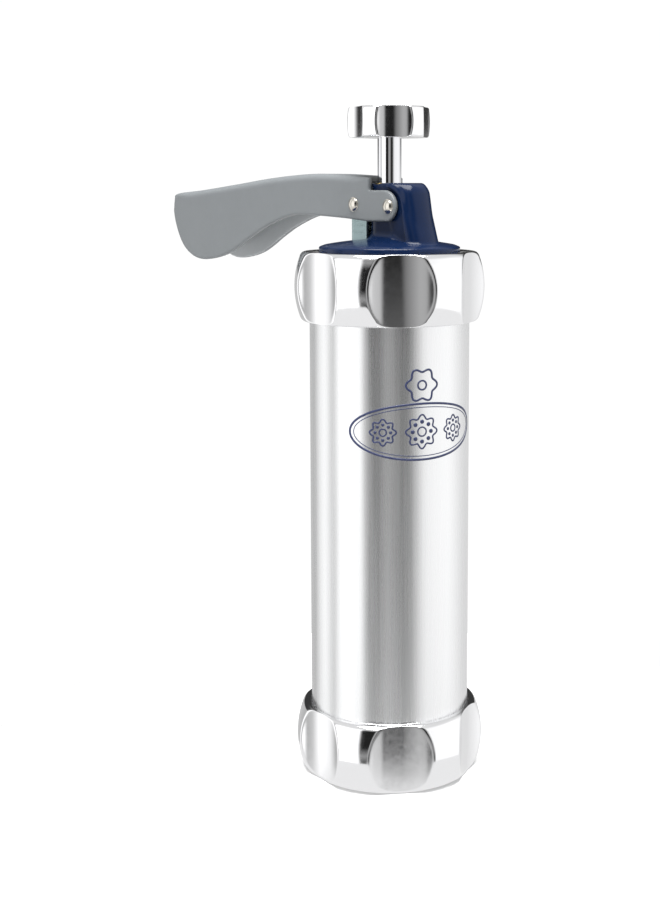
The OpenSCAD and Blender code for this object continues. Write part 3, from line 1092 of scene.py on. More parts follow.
@dataclass
class Lever:
    """The die-cast lever: a channel open below, with two ears and a finger lobe.

    Points of the outline are x and z from the pivot. The tip is at the low end of x.

    Attributes:
        pivot_x: Where the pivot stands.
        ear: Radius of the ears.
        ear_x: Middle of the ears.
        wall: Thickness of the side walls.
        back_wall: Thickness of the back.
        half: Half of the width at the ears.
        grip_half: Half of the width at the lobe.
        widening: Where the full width ends and where the narrow one starts.
        web_end: Where the back ends and the gap between the ears starts.
        grip_wall: Where the hollow ends, before the tip.
        top_round: Radius of the round along the back.
        lip_round: Radius of the round along the lower lip.
        lip_share: Height where one round gives way to the other: the lip's share in it.
        change: Height over which it does so.
        ear_end: Distance from the pivot where the back's round starts.
        tip_start: Distance from the pivot where it gets smaller again.
        run: Length over which it starts and gets smaller.
        tip_loss: What is lost of it at the tip.
        pin: Radius of the pivot's hole.
        reach: Distance from the pivot to the tip.
        back: Outline of the back, from the tip.
        belly: Outline of the underside, from the ears.
    """

    pivot_x: float = 7.6
    ear: float = 5.4
    ear_x: float = -2.2
    wall: float = 1.8
    back_wall: float = 2.2
    half: float = 8.4
    grip_half: float = 10.0
    widening: tuple[float, float] = (-96, -56)
    web_end: float = -15.1
    grip_wall: float = -111.5
    top_round: float = 2.4
    lip_round: float = 0.55
    lip_share: float = 0.45
    change: float = 5.0
    ear_end: float = 9.0
    tip_start: float = 106.0
    run: float = 8.0
    tip_loss: float = 0.65
    pin: float = 2.05
    reach: float = 116.4
    back: tuple[tuple[float, float], ...] = (
        (-116.6, -6), (-116.2, 1.6), (-114, 4), (-99, 5.4), (-80, 7.5), (-63, 9.5), (-48, 10.7),
        (-35, 11.1), (-21, 10.5), (-9.3, 9.6), (-3, 9),
    )
    belly: tuple[tuple[float, float], ...] = (
        (0, -5.4), (-9.3, -5.1), (-21, -4.2), (-37, -3.4), (-45, -3.2), (-52, -4.2), (-59, -6.4),
        (-66, -9.2), (-73, -12.7), (-79, -16), (-85, -18.6), (-91.5, -20.2), (-98.5, -20.9),
        (-104.5, -19.8), (-110, -16.4), (-113.6, -11.4), (-115.7, -6.2), (-116.5, -2), (-116.2, 1.6),
    )

    def field(self, pivot_z: float) -> Field:
        """Signed distance to the lever.

        Args:
            pivot_z: Height of the pivot.

        Returns:
            The field.
        """
        back, belly = catmull(self.back, 8), catmull(self.belly, 8)
        ear = arc((self.ear_x, 0), self.ear, 90, -66, 26)
        outer = Outline2D(back + [(-9.3, 9.6), (-9.3, self.ear)] + ear + belly)
        roof = [(x, z - self.back_wall) for x, z in back if x > self.grip_wall]
        hollow = Outline2D([(self.grip_wall, -30), (self.grip_wall, 1.2)] + roof + [(14, 7.4), (14, -30)])
        top_x, top_z = zip(*sorted((x, z) for x, z in back))
        low_x, low_z = zip(*sorted((x, z) for x, z in belly))

        def shape(p: np.ndarray) -> np.ndarray:
            """Give the signed distance at points of the frame."""
            x, y, z = p[:, 0] - self.pivot_x, np.abs(p[:, 1]), p[:, 2] - pivot_z
            half = np.interp(x, self.widening, (self.grip_half, self.half))
            lip, crest = np.interp(x, low_x, low_z), np.interp(x, top_x, top_z)
            middle = self.lip_share * lip + (1 - self.lip_share) * crest
            share = np.clip((z - middle) / self.change + 0.5, 0, 1)
            share = share * np.clip((-x - self.ear_end) / self.run, 0, 1)
            share = share * (1 - self.tip_loss * np.clip((-x - self.tip_start) / self.run, 0, 1))
            edge = self.lip_round + (self.top_round - self.lip_round) * share * share * (3 - 2 * share)
            body = both(outer.distance(x, z), y - half, edge)
            between = y - (half - self.wall)
            cavity = both(hollow.distance(x, z), between, 1.0)
            gap = both(self.web_end - x, between, 0.3)
            body = without(without(body, cavity, 0.35), gap, 0.4)
            body = np.maximum(body, self.pin - np.hypot(x, z))
            return np.maximum(body, -x - self.reach)

        return shape

    def build(self) -> bpy.types.Object:
        """Mesh the lever and put it on its body.

        Returns:
            The lever.
        """
        low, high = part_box("lever")
        pin_low, pin_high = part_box("pivot_pin")
        pivot_z = (pin_low.z + pin_high.z) / 2 / MM
        below, beyond = [c / MM - 1.2 for c in low], [c / MM + 1.2 for c in high]
        solid = ImplicitSolid(self.field(pivot_z), below, beyond, 0.5)
        lever = new_piece("squeeze_lever", solid.mesh("squeeze_lever"), DIE_CAST.material())
        # The inner side walls of the channel get the paler copy of the grey: painted bounce light.
        lever.data.materials.append(DIE_CAST_PAINTED_BOUNCE.material())
        inner = (self.grip_half - self.wall / 2) * MM
        for face in lever.data.polygons:
            if abs(face.center.y) < inner and face.center.y * face.normal.y < 0 and face.center.x < 0:
                face.material_index = int(abs(face.normal.y) > 0.5)
        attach(lever, "lever")
        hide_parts("lever")
        return lever


@dataclass
class Link:
    """The bent sheet bracket that hangs from the lever's front rivet.

    Attributes:
        sheet: Thickness of the sheet.
        pin_radius: Radius of the rivet's hole.
        head: Radius of the round heads.
        bend: Outer radius of the bends.
        crown: Distance from the rivet down to the top of the web.
        edge: Radius of the cut edges.
        lip: Radius of the edges inside.
    """

    sheet: float = 1.2
    pin_radius: float = 1.65
    head: float = 4.1
    bend: float = 1.6
    crown: float = 3.0
    edge: float = 0.25
    lip: float = 0.2

    def build(self) -> bpy.types.Object:
        """Mesh the bracket with its bends and its round heads.

        Returns:
            The link.
        """
        low, high = (np.array(c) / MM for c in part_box("drive_link"))
        pin_low, pin_high = (np.array(c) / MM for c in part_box("link_pin"))
        pin_x, pin_z = (pin_low[0] + pin_high[0]) / 2, (pin_low[2] + pin_high[2]) / 2
        inner_bend = self.bend - self.sheet + 0.01

        def field(p: np.ndarray) -> np.ndarray:
            """Give the signed distance to the bracket."""
            x, y, z = p[:, 0], np.abs(p[:, 1]), p[:, 2]
            between = y - (high[1] - self.sheet)
            outside = both(low[0] - x, y - high[1], self.bend)
            inside = both(low[0] + self.sheet - x, between, inner_bend)
            sheet = without(np.maximum(outside, x - high[0]), inside, self.lip)
            round_top = np.hypot(x - pin_x, z - pin_z) - self.head
            side = np.minimum(round_top, np.maximum(z - pin_z, x - high[0]))
            sheet = both(np.maximum(sheet, side), low[2] - z, self.edge)
            sheet = both(sheet, x - high[0], self.edge)
            sheet = without(sheet, np.maximum(pin_z - self.crown - z, between), self.lip)
            return np.maximum(sheet, self.pin_radius - np.hypot(x - pin_x, z - pin_z))

        solid = ImplicitSolid(field, low - 0.9, high + 0.9, 0.26)
        link = new_piece("link_bracket", solid.mesh("link_bracket"), ZINC.material())
        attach(link, "link")
        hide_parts("drive_link")
        return link


@dataclass
class Rivets:
    """The two domed rivets that hold lever and link.

    Attributes:
        head: Radius of the heads.
        dome: Height of the heads.
        rim: Height of the flat rim under the dome.
        sunk: How deep a head reaches into the shank's end.
    """

    head: float = 2.45
    dome: float = 1.2
    rim: float = 0.1
    sunk: float = 0.02

    def tree(self) -> NodeModel:
        """Build the tree that sets a domed head on each end of a shank along Y.

        Returns:
            The tree.
        """
        model = NodeModel("rivet_setter")
        g = model.graph
        x, z = model.named("X"), model.named("Z")
        half, shank = model.named("Half length"), model.named("Shank")
        depth = g.math("MULTIPLY", half, 2.0)
        rod = g.add("GeometryNodeMeshCylinder", {"Vertices": 48, "Radius": shank, "Depth": depth}).outputs[0]
        near = g.math("MULTIPLY", half, -1.0)
        placed = []
        for shape, y, turn in ((model.geometry, near, 90), (model.geometry, half, -90), (rod, 0.0, 90)):
            place = g.add("ShaderNodeCombineXYZ", {0: x, 1: y, 2: z})
            turned = {"Translation": place.outputs[0], "Rotation": (math.radians(turn), 0, 0)}
            placed.append(g.add("GeometryNodeTransform", {"Geometry": shape, **turned}))
        joined = g.add("GeometryNodeJoinGeometry")
        for part in placed:
            g.tree.links.new(part.outputs[0], joined.inputs[0])
        model.close(joined.outputs[0])
        return model

    def head_mesh(self) -> bpy.types.Mesh:
        """Turn one rivet head, with a small flat rim under its dome.

        Returns:
            The head's mesh, upright.
        """
        sphere = (self.head**2 + self.dome**2) / (2 * self.dome)
        spread = math.degrees(math.asin((self.head - self.rim - self.sunk) / sphere))
        dome = arc((0, self.dome - sphere), sphere, 90 - spread, 90, 12)
        foot = [(0, -self.sunk), (self.head - self.rim, -self.sunk), (self.head, self.rim)]
        return lathe("rivet_head", foot + dome, 56)

    def build(self) -> list[bpy.types.Object]:
        """Set both rivets.

        Returns:
            The pivot pin and the link pin.
        """
        tree, done = self.tree(), []
        for node, body, shank in (("pivot_pin", "head", 2.0), ("link_pin", "lever", 1.55)):
            low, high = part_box(node)
            middle, half = (low + high) / 2, (high.y - low.y) / 2 - self.dome * MM
            values = {
                "Material": NICKEL.material(),
                "X": middle.x,
                "Z": middle.z,
                "Half length": half,
                "Shank": shank * MM,
            }
            rivet = tree.make(node + "_rivet", self.head_mesh(), values)
            crease(rivet.data, 40)
            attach(rivet, body)
            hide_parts(node)
            done.append(rivet)
        return done


# ---------------------------------------------------------------- head


@dataclass
class Head:
    """The navy plastic head: a domed flange with collar and skirt, and the tower that carries the lever.

    Attributes:
        flange: Radius of the flange.
        collar: Radius of the collar that rests on the tube.
        skirt: Radius of the skirt inside the tube.
        skirt_wall: Thickness of the skirt.
        flange_rise: Height of the flange over the top ring.
        dome_rise: How much higher its middle is.
        dome_radius: Radius of the dome.
        soft: Radius of the flange's rounded edges.
        half: Half of the tower's width in front.
        back_radius: Radius of the tower's back.
        back_foot: Where the middle of the back's round is, at the flange.
        tilt: Lean of the back, in degrees.
        shoulder: Radius of the tower's shoulder.
        crest: Radius of the round along the tower's top in front.
        crest_growth: How much larger that is at the back.
        root: Radius of the fillet at the tower's foot at the back.
        root_growth: How much larger that is in front.
        pocket: Radius of the hollow beside the lever's ears.
        pocket_x: Middle of the hollow, from the pivot.
        pocket_tilt: Lean of the hollow's edge, in degrees.
        rod_hole: Radius of the hole for the push rod.
        bush_hole: Radius of the upper bush's seat.
        bush_depth: Depth of that seat.
        pin_hole: Radius of the pivot pin's hole.
        screws: Number of screws that hold the cover.
        screw_circle: Distance of the screws from the axis.
        screw_hole: Radius of a screw's hole.
        boss: Radius of the boss round it.
    """

    flange: float = 24.1
    collar: float = 27.0
    skirt: float = 25.2
    skirt_wall: float = 2.2
    flange_rise: float = 2.1
    dome_rise: float = 2.2
    dome_radius: float = 23.0
    soft: float = 0.45
    half: float = 6.2
    back_radius: float = 7.5
    back_foot: float = 12.9
    tilt: float = 17.0
    shoulder: float = 5.0
    crest: float = 1.1
    crest_growth: float = 2.6
    root: float = 0.9
    root_growth: float = 2.4
    pocket: float = 6.4
    pocket_x: float = -2.2
    pocket_tilt: float = 12.0
    rod_hole: float = 4.4
    bush_hole: float = 5.4
    bush_depth: float = 5.0
    pin_hole: float = 2.05
    screws: int = 3
    screw_circle: float = 18.5
    screw_hole: float = 1.5
    boss: float = 3.2

    def field(self) -> Field:
        """Signed distance to the head.

        Returns:
            The field.
        """
        low, high = (np.array(c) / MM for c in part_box("head_housing"))
        ring_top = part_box("top_ring")[1].z / MM
        tube_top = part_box("barrel_tube")[1].z / MM
        pin_low, pin_high = (np.array(c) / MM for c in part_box("pivot_pin"))
        pivot_x, pivot_z = (pin_low[0] + pin_high[0]) / 2, (pin_low[2] + pin_high[2]) / 2
        link_low, link_high = (np.array(c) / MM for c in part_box("drive_link"))
        top, foot = high[2], ring_top + self.flange_rise
        roof, rim = ring_top - 0.1, tube_top + 0.05
        rim_top, soft = rim + 1.5 - self.soft, self.soft
        rises = [(r, self.dome_rise * (1 - (r / self.dome_radius) ** 2)) for r in (0, 6, 10, 14, 17, 20, 22)]
        dome = [(r, foot + rise - soft) for r, rise in rises]
        flange, collar, skirt = self.flange - soft, self.collar - soft, self.skirt - soft
        inner = self.skirt - self.skirt_wall + soft
        shell = Outline2D(
            [(-9, roof + soft), (-9, foot + self.dome_rise - soft)]
            + dome
            + [(flange, foot - 0.9), (flange, rim_top), (collar, rim_top), (collar, rim + soft)]
            + [(skirt, rim + soft), (skirt, low[2] + soft), (inner, low[2] + soft), (inner, roof + soft)]
        )
        slope = math.tan(math.radians(self.tilt))
        back_x = self.back_foot + self.back_radius - slope * (top - foot - self.shoulder) + 0.4
        side = Outline2D(
            [(-self.half, foot - 4), (-self.half, top)]
            + arc((back_x - self.shoulder, top - self.shoulder), self.shoulder, 90, self.tilt, 12)
            + [(self.back_foot + self.back_radius + 2.2, foot - 4)]
        )
        cos_t, sin_t = math.cos(math.radians(self.tilt)), math.sin(math.radians(self.tilt))
        cos_p, sin_p = math.cos(math.radians(self.pocket_tilt)), math.sin(math.radians(self.pocket_tilt))
        slot_box = (
            (link_low[0] - 0.4, link_low[1] - 0.4, roof - 3),
            (link_high[0] + 0.8, link_high[1] + 0.4, foot + 9),
        )
        island_box = (
            (link_low[0] + 2.0, link_low[1] + 1.6, roof - 9),
            (link_high[0] + 9, link_high[1] - 1.6, foot + 19),
        )

        def shape(p: np.ndarray) -> np.ndarray:
            """Give the signed distance at points of the frame."""
            x, y, z = p[:, 0], p[:, 1], p[:, 2]
            r, ay = np.hypot(x, y), np.abs(y)
            body = shell.distance(r, z) - soft
            slab = np.hypot(x - np.clip(x, 0, self.back_foot - 1), y) - self.half
            along = (x - self.back_foot) * cos_t + (z - foot) * sin_t
            back = np.hypot(along, y) - self.back_radius
            px, pz = x - pivot_x, z - pivot_z
            ex = px - self.pocket_x
            lower = np.maximum(ex * cos_p + pz * sin_p - self.pocket, pz)
            arc_cut = np.minimum(np.hypot(ex, pz) - self.pocket, np.maximum(ex, -pz))
            cut = np.minimum(lower, arc_cut)
            back = without(back, both(cut, self.half - ay, 0.3), 0.4)
            tower = either(slab, back, 0.25)
            crest = self.crest + self.crest_growth * np.clip((x - 8) / 5, 0, 1)
            tower = both(tower, side.distance(x, z), crest)
            tower = np.maximum(tower, foot - 3.5 - z)
            root = self.root + self.root_growth * np.clip((12 - x) / 4, 0, 1)
            body = either(body, tower, root)
            for k in range(self.screws):
                a = 2 * math.pi * k / self.screws
                screw = np.hypot(x - self.screw_circle * math.cos(a), y - self.screw_circle * math.sin(a))
                boss = np.maximum(screw - self.boss, np.maximum(low[2] - z, z - roof - 1))
                body = either(body, boss, 0.5)
                body = np.maximum(body, np.minimum(self.screw_hole - screw, roof - 2 - z))
            bore = np.where(z > top - self.bush_depth, self.bush_hole, self.rod_hole) - r
            body = np.maximum(body, bore)
            body = np.maximum(body, self.pin_hole - np.hypot(px, pz))
            outer = box_distance(p, *slot_box)
            island = box_distance(p, *island_box)
            slot = np.maximum(outer, -island)
            return without(body, slot, 0.25)

        return shape

    def build(self) -> bpy.types.Object:
        """Mesh the head and put it on its body.

        Returns:
            The head.
        """
        low, high = (np.array(c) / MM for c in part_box("head_housing"))
        solid = ImplicitSolid(self.field(), low - 1.3, high + 1.3, 0.5)
        head = new_piece("head_moulding", solid.mesh("head_moulding"), NAVY.material())
        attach(head, "head")
        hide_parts("head_housing")
        return head


# ---------------------------------------------------------------- rod and springs


@dataclass
class Rod:
    """The bright push rod, with saw teeth cut into the side that faces the lever.

    Attributes:
        radius: Radius of the rod.
        spigot: Radius of its end in the piston.
        groove: Radius at the clip's groove.
        pitch: Distance from tooth to tooth.
        depth: Depth of the teeth.
        shallow: Depth at their tips.
        ramp: Share of a tooth that slopes; the rest is its steep side.
        rack_low: Height where the teeth start.
        rack_high: Height where they end.
        bevel: Bevel of the rod's ends.
        segments: Steps round the axis.
    """

    radius: float = 4.05
    spigot: float = 3.0
    groove: float = 2.4
    pitch: float = 4.0
    depth: float = 1.2
    shallow: float = 0.3
    ramp: float = 0.9
    rack_low: float = 50.0
    rack_high: float = 198.0
    bevel: float = 0.3
    segments: int = 128

    def blank(self) -> bpy.types.Mesh:
        """Turn the rod with a row of points at each tooth.

        Returns:
            The rod's mesh, with no teeth yet.
        """
        low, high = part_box("push_rod")
        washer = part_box("piston_washer")[1].z / MM
        clip_low, clip_high = (c.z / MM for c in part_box("piston_clip"))
        z0, z1 = low.z / MM, high.z / MM
        teeth = [
            self.rack_low + (k + part) * self.pitch
            for k in range(int((self.rack_high - self.rack_low) / self.pitch))
            for part in (0.0, 0.02, self.ramp / 2, self.ramp - 0.01, self.ramp + 0.01, 0.98)
        ]
        foot = washer + 0.05
        outline = [(0, z0), (self.spigot - self.bevel, z0), (self.spigot, z0 + self.bevel)]
        outline += [(self.spigot, clip_low)]
        outline += [(self.groove, clip_low), (self.groove, clip_high), (self.spigot, clip_high)]
        outline += [(self.spigot, foot), (self.radius - self.bevel, foot), (self.radius, foot + self.bevel)]
        outline += [(self.radius, z) for z in teeth]
        outline += [(self.radius, z1 - 0.4), (self.radius - 0.4, z1), (0, z1)]
        return lathe("push_rod_blank", outline, self.segments)

    def tree(self) -> NodeModel:
        """Build the tree that cuts the teeth: points past the saw line are drawn back to it.

        Returns:
            The tree.
        """
        model = NodeModel("tooth_cutter")
        g = model.graph
        radius, pitch = model.named("Radius"), model.named("Pitch")
        depth, shallow = model.named("Depth"), model.named("Shallow")
        bottom, top = model.named("Bottom"), model.named("Top")
        split = g.add("ShaderNodeSeparateXYZ", {0: g.add("GeometryNodeInputPosition").outputs[0]})
        x, y, z = split.outputs
        share = g.math("FRACT", g.math("DIVIDE", g.math("SUBTRACT", z, bottom), pitch))
        slope = g.math("DIVIDE", share, self.ramp)
        steep = g.math("DIVIDE", g.math("SUBTRACT", 1.0, share), 1 - self.ramp)
        rise = g.math("MINIMUM", slope, steep)
        cut = g.math("SUBTRACT", depth, g.math("MULTIPLY", rise, g.math("SUBTRACT", depth, shallow)))
        inside = g.math("MULTIPLY", g.math("GREATER_THAN", z, bottom), g.math("LESS_THAN", z, top))
        saw = g.math("SUBTRACT", g.math("MULTIPLY", cut, inside), radius)
        moved = g.add("ShaderNodeCombineXYZ", {0: g.math("MAXIMUM", x, saw), 1: y, 2: z})
        shaped = g.add("GeometryNodeSetPosition", {"Geometry": model.geometry, "Position": moved.outputs[0]})
        model.close(shaped.outputs[0])
        return model

    def build(self) -> bpy.types.Object:
        """Cut the rod and put it on its body.

        Returns:
            The rod.
        """
        values = {
            "Material": CHROME.material(),
            "Radius": self.radius * MM,
            "Pitch": self.pitch * MM,
            "Depth": self.depth * MM,
            "Shallow": self.shallow * MM,
            "Bottom": (self.rack_low - 0.01) * MM,
            "Top": self.rack_high * MM,
        }
        rod = self.tree().make("toothed_rod", self.blank(), values)
        crease(rod.data, 30)
        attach(rod, "push_rod")
        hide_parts("push_rod")
        return rod


class Springs:
    """The return spring under the drive plate and the small one behind the holding pawl."""

    def tree(self) -> NodeModel:
        """Build the tree that winds a coil of round wire.

        Returns:
            The tree.
        """
        model = NodeModel("coil_winder")
        g = model.graph
        radius, height = model.named("Mean radius"), model.named("Height")
        turns, wire = model.named("Turns"), model.named("Wire radius")
        start = model.named("Start", "NodeSocketVector")
        tilt = model.named("Tilt", "NodeSocketVector")
        spiral = g.add(
            "GeometryNodeCurveSpiral",
            {
                "Resolution": 40,
                "Rotations": turns,
                "Start Radius": radius,
                "End Radius": radius,
                "Height": height,
            },
        )
        section = g.add("GeometryNodeCurvePrimitiveCircle", {"Resolution": 14, "Radius": wire})
        tube = g.add(
            "GeometryNodeCurveToMesh",
            {"Curve": spiral.outputs[0], "Profile Curve": section.outputs[0], "Fill Caps": True},
        )
        placed = g.add(
            "GeometryNodeTransform", {"Geometry": tube.outputs[0], "Translation": start, "Rotation": tilt}
        )
        model.close(placed.outputs[0])
        return model

    def build(self) -> list[bpy.types.Object]:
        """Wind both springs.

        Returns:
            The springs.
        """
        tree, done = self.tree(), []
        upright, lying = (0.0, 0.0, 0.0), (0.0, -math.pi / 2, 0.0)
        coils = (("return_spring", 5.0, 0.45, upright), ("pawl_spring", 7.0, 0.25, lying))
        for node, turns, wire, tilt in coils:
            low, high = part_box(node)
            size, middle = high - low, (low + high) / 2
            along, across, start = size.z, size.x, (0.0, 0.0, low.z + wire * MM)
            if tilt is lying:
                along, across, start = size.x, size.z, (high.x - wire * MM, 0.0, middle.z)
            values = {
                "Material": SPRING.material(),
                "Mean radius": across / 2 - wire * MM,
                "Height": along - 2 * wire * MM,
                "Turns": turns,
                "Wire radius": wire * MM,
                "Start": start,
                "Tilt": tilt,
            }
            coil = tree.make(node + "_coil", bpy.data.meshes.new(node + "_blank"), values)
            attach(coil, "head")
            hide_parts(node)
            done.append(coil)
        return done


# ---------------------------------------------------------------- carried-over pieces


def dress_inner_pieces() -> None:
    """Give each CAD piece that stays its own finish."""
    finishes = {
        "head_base": NAVY,
        "head_screws": ZINC,
        "upper_bush": BRASS,
        "lower_bush": BRASS,
        "drive_plate": STEEL,
        "hold_pawl": STEEL,
        "pawl_plug": ZINC,
        "piston_disc": STAMPED,
        "piston_seal": RUBBER,
        "piston_washer": STEEL,
        "piston_clip": SPRING,
    }
    for node, finish in finishes.items():
        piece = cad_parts[node]
        for held in piece.material_slots:
            held.material = finish.material()
        LOG.info("dressed %s in %s", node, finish.name)


# ---------------------------------------------------------------- studio


@dataclass(frozen=True)
class Lamp:
    """A square soft light that faces the object.

    Attributes:
        name: Name of the light.
        aside: Where it stands, in degrees round from the camera.
        elevation: How high it stands, in degrees.
        reach: Its distance.
        size: Its side.
        watts: Its power.
        mirrored: Whether polished metal shows it.
        aim: Height that it is aimed at, in metres.
    """

    name: str
    aside: float
    elevation: float
    reach: float
    size: float
    watts: float
    mirrored: bool = True
    aim: float = 0.11

    def hang(self) -> None:
        """Put the light in the scene."""
        data = bpy.data.lights.new(self.name, "AREA")
        data.energy, data.size, data.shape = self.watts, self.size * MM, "SQUARE"
        lamp = bpy.data.objects.new(self.name, data)
        bpy.context.scene.collection.objects.link(lamp)
        lamp.visible_glossy = self.mirrored
        lamp.visible_camera = False
        a, e = math.radians(CAMERA_AZIMUTH + self.aside), math.radians(self.elevation)
        back = Vector((math.sin(a) * math.cos(e), -math.cos(a) * math.cos(e), math.sin(e)))
        lamp.location = back * self.reach * MM + Vector((0, 0, self.aim))
        lamp.rotation_mode = "QUATERNION"
        lamp.rotation_quaternion = (-back).to_track_quat("-Z", "Y")


OVERHEAD = Lamp("overhead", 0, 78, 900, 700, 21.0)
LOW_FILL = Lamp("low_fill", -45, -14, 300, 150, 0.45, mirrored=False)


@dataclass
class Studio:
    """Camera, floor and light.

    Attributes:
        distance: Camera's distance from the barrel's axis.
        height: Camera's height.
        pitch: How far the camera looks down, in degrees.
        aside: Sideways shift of the frame.
        lens: Lens for a 36 mm sensor.
        shift: Vertical shift of the frame.
        floor: Radius of the floor.
        stops: Brightness round the object, by angle in degrees from the camera's far side.
        above: Heights between which that turns into the ceiling.
        ceiling: Brightness of the ceiling.
        below: Heights between which it turns into the bounce of the floor.
        bounce: Brightness of that bounce.
        haze: Heights between which the gaps get lighter.
        haze_level: How light they get.
        gloom: Heights between which they get darker again.
        gloom_level: How much darker.
        behind: Directions between which the curtain behind the camera starts.
        rising: Heights between which it starts.
        curtain: Brightness of the curtain.
        backdrop: Brightness of the plain background.
    """

    distance: float = 489.0
    height: float = 202.6
    pitch: float = 6.5
    aside: float = -0.0661
    lens: float = 57.2
    shift: float = -0.111
    floor: float = 150.0
    stops: tuple[tuple[float, float], ...] = (
        (-180, 0.60), (-150, 0.56), (-134, 0.46), (-122, 1.00), (-104, 1.35), (-92, 0.62), (-84, 0.45),
        (-79, 1.45), (-39, 1.45), (-35, 0.015), (-12, 0.015), (-8, 0.42), (-2, 0.44), (11, 0.20),
        (16, 0.015), (31, 0.015), (35, 0.55), (42, 0.62), (46, 1.00), (52, 1.10), (95, 1.20), (118, 0.95),
        (135, 0.80), (165, 0.75), (180, 0.60),
    )
    above: tuple[float, float] = (0.42, 0.72)
    ceiling: float = 0.78
    below: tuple[float, float] = (-0.384, -0.396)
    bounce: float = 0.90
    haze: tuple[float, float] = (-0.04, -0.22)
    haze_level: float = 0.30
    gloom: tuple[float, float] = (-0.24, -0.35)
    gloom_level: float = 0.20
    behind: tuple[float, float] = (-0.45, -0.70)
    rising: tuple[float, float] = (0.00, 0.04)
    curtain: float = 0.04
    backdrop: float = 1.02

    def camera(self) -> bpy.types.Object:
        """Place the camera.

        Returns:
            The camera.
        """
        data = bpy.data.cameras.new("camera")
        data.lens, data.sensor_width = self.lens, 36.0
        data.shift_x, data.shift_y = self.aside, self.shift
        camera = bpy.data.objects.new("camera", data)
        bpy.context.scene.collection.objects.link(camera)
        a = math.radians(CAMERA_AZIMUTH)
        aside, ahead = math.sin(a) * self.distance, -math.cos(a) * self.distance
        camera.location = Vector((aside, ahead, self.height)) * MM
        camera.rotation_euler = (math.radians(90 - self.pitch), 0.0, a)
        bpy.context.scene.camera = camera
        return camera

    def ground(self) -> bpy.types.Object:
        """Lay the pale floor.

        Returns:
            The floor.
        """
        steps = 128
        a = np.linspace(0, 2 * np.pi, steps + 1)[:-1]
        points = np.stack([self.floor * np.cos(a), self.floor * np.sin(a), np.zeros(steps)], axis=1)
        mesh = new_mesh("floor", points, [range(steps)])
        material = bpy.data.materials.new("pale_floor")
        material.use_nodes = True
        shader = material.node_tree.nodes["Principled BSDF"]
        shader.inputs["Base Color"].default_value = (0.9, 0.9, 0.9, 1.0)
        shader.inputs["Roughness"].default_value = 0.9
        floor = new_piece("floor", mesh, material)
        floor.visible_glossy = False
        return floor

    def world(self) -> None:
        """Surround the object with tall soft boxes and dark gaps, and a plain pale background."""
        world = bpy.data.worlds.new("studio")
        bpy.context.scene.world = world
        world.use_nodes = True
        world.node_tree.nodes.clear()
        g = Graph(world.node_tree)
        a = math.radians(CAMERA_AZIMUTH)
        direction = g.add("ShaderNodeSeparateXYZ", {0: g.add("ShaderNodeTexCoord").outputs["Generated"]})
        x, y, z = direction.outputs
        ahead = g.math("SUBTRACT", g.math("MULTIPLY", x, math.sin(a)), g.math("MULTIPLY", y, math.cos(a)))
        aside = g.math("ADD", g.math("MULTIPLY", x, math.cos(a)), g.math("MULTIPLY", y, math.sin(a)))
        share = g.math("MULTIPLY_ADD", g.math("ARCTAN2", aside, ahead), 1 / (2 * math.pi), 0.5)
        ramp = g.add("ShaderNodeValToRGB", {0: share})
        bar = ramp.color_ramp
        while len(bar.elements) < len(self.stops):
            bar.elements.new(0.5)
        for element, (degrees, level) in zip(bar.elements, self.stops):
            element.position = degrees / 360 + 0.5
            element.color = (level, level, level * 1.01, 1.0)
        haze = g.span(z, *self.haze, 0.0, self.haze_level)
        gloom = g.span(z, *self.gloom, 0.0, self.gloom_level)
        middle = g.math("MAXIMUM", ramp.outputs[0], g.math("SUBTRACT", haze, gloom))
        curtain = g.math("MULTIPLY", g.span(ahead, *self.behind), g.span(z, *self.rising))
        middle = g.add("ShaderNodeMix", {0: curtain, 2: middle, 3: self.curtain}).outputs[0]
        lifted = g.add("ShaderNodeMix", {0: g.span(z, *self.above), 2: middle, 3: self.ceiling}).outputs[0]
        level = g.add("ShaderNodeMix", {0: g.span(z, *self.below), 2: lifted, 3: self.bounce}).outputs[0]
        studio = g.add("ShaderNodeBackground", {"Color": level, "Strength": 1.0})
        plain = g.add("ShaderNodeBackground", {"Color": (1.0, 1.0, 1.0, 1.0), "Strength": self.backdrop})
        path = g.add("ShaderNodeLightPath")
        mixed = g.add(
            "ShaderNodeMixShader",
            {0: path.outputs["Is Camera Ray"], 1: studio.outputs[0], 2: plain.outputs[0]},
        )
        g.add("ShaderNodeOutputWorld", {0: mixed.outputs[0]})

    def build(self) -> None:
        """Set up the whole studio."""
        self.camera()
        self.ground()
        self.world()
        for lamp in (OVERHEAD, LOW_FILL):
            lamp.hang()
        bpy.context.scene.view_settings.view_transform = "Standard"


# ---------------------------------------------------------------- assembly


def turnings() -> list[ScallopedTurning]:
    """List the pieces that are turned and scalloped.

    Returns:
        The two ring nuts and the knob.
    """
    ring = {
        "radius": 32.5, "belly": 29.6, "edge": 2.0, "bore": 27.48, "bore_depth": 21.2, "scallops": 6,
        "cut": 28.8, "cut_radius": 39.0, "turn": -37.5, "soft": 0.55,
    }
    return [
        ScallopedTurning("top_ring", "top_ring", Slot.POLISHED, hole=24.4, lip_up=True, **ring),
        ScallopedTurning(
            "bottom_ring", "bottom_ring", Slot.POLISHED, hole=22.0, lip_up=False, lower_edge=4.6, **ring
        ),
        ScallopedTurning(
            "knob", "push_rod", Slot.KNOB, radius=14.3, belly=24.0, edge=0.8, bore=4.07, bore_depth=7.1,
            hole=0.0, lip_up=True, scallops=5, cut=11.9, cut_radius=20.0, turn=-37.6, soft=0.4, segments=320,
        ),
    ]


def report(pieces: Iterable[bpy.types.Object]) -> None:
    """Log each finished piece with its number of faces.

    Args:
        pieces: The pieces.
    """
    for piece in pieces:
        LOG.info("%s: %d faces", piece.name, len(piece.data.polygons))


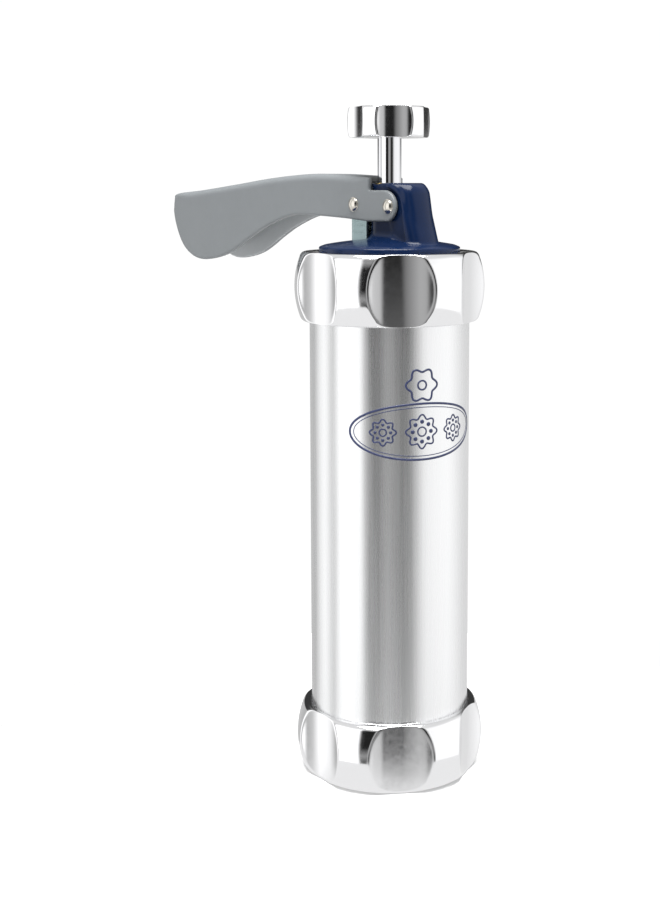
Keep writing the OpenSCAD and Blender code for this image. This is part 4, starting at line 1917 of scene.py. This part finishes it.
def main() -> None:
    logging.basicConfig(level=logging.INFO, format="%(message)s")
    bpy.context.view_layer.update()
    Studio().build()
    cutter = ScallopedTurning.tree()
    report([turning.build(cutter, POLISHED.material()) for turning in turnings()])
    report(Barrel().build())
    report([FormingDisc().build(), Head().build(), Lever().build(), Link().build(), Rod().build()])
    report(Rivets().build())
    report(Springs().build())
    dress_inner_pieces()


if __name__ == "__main__":
    main()
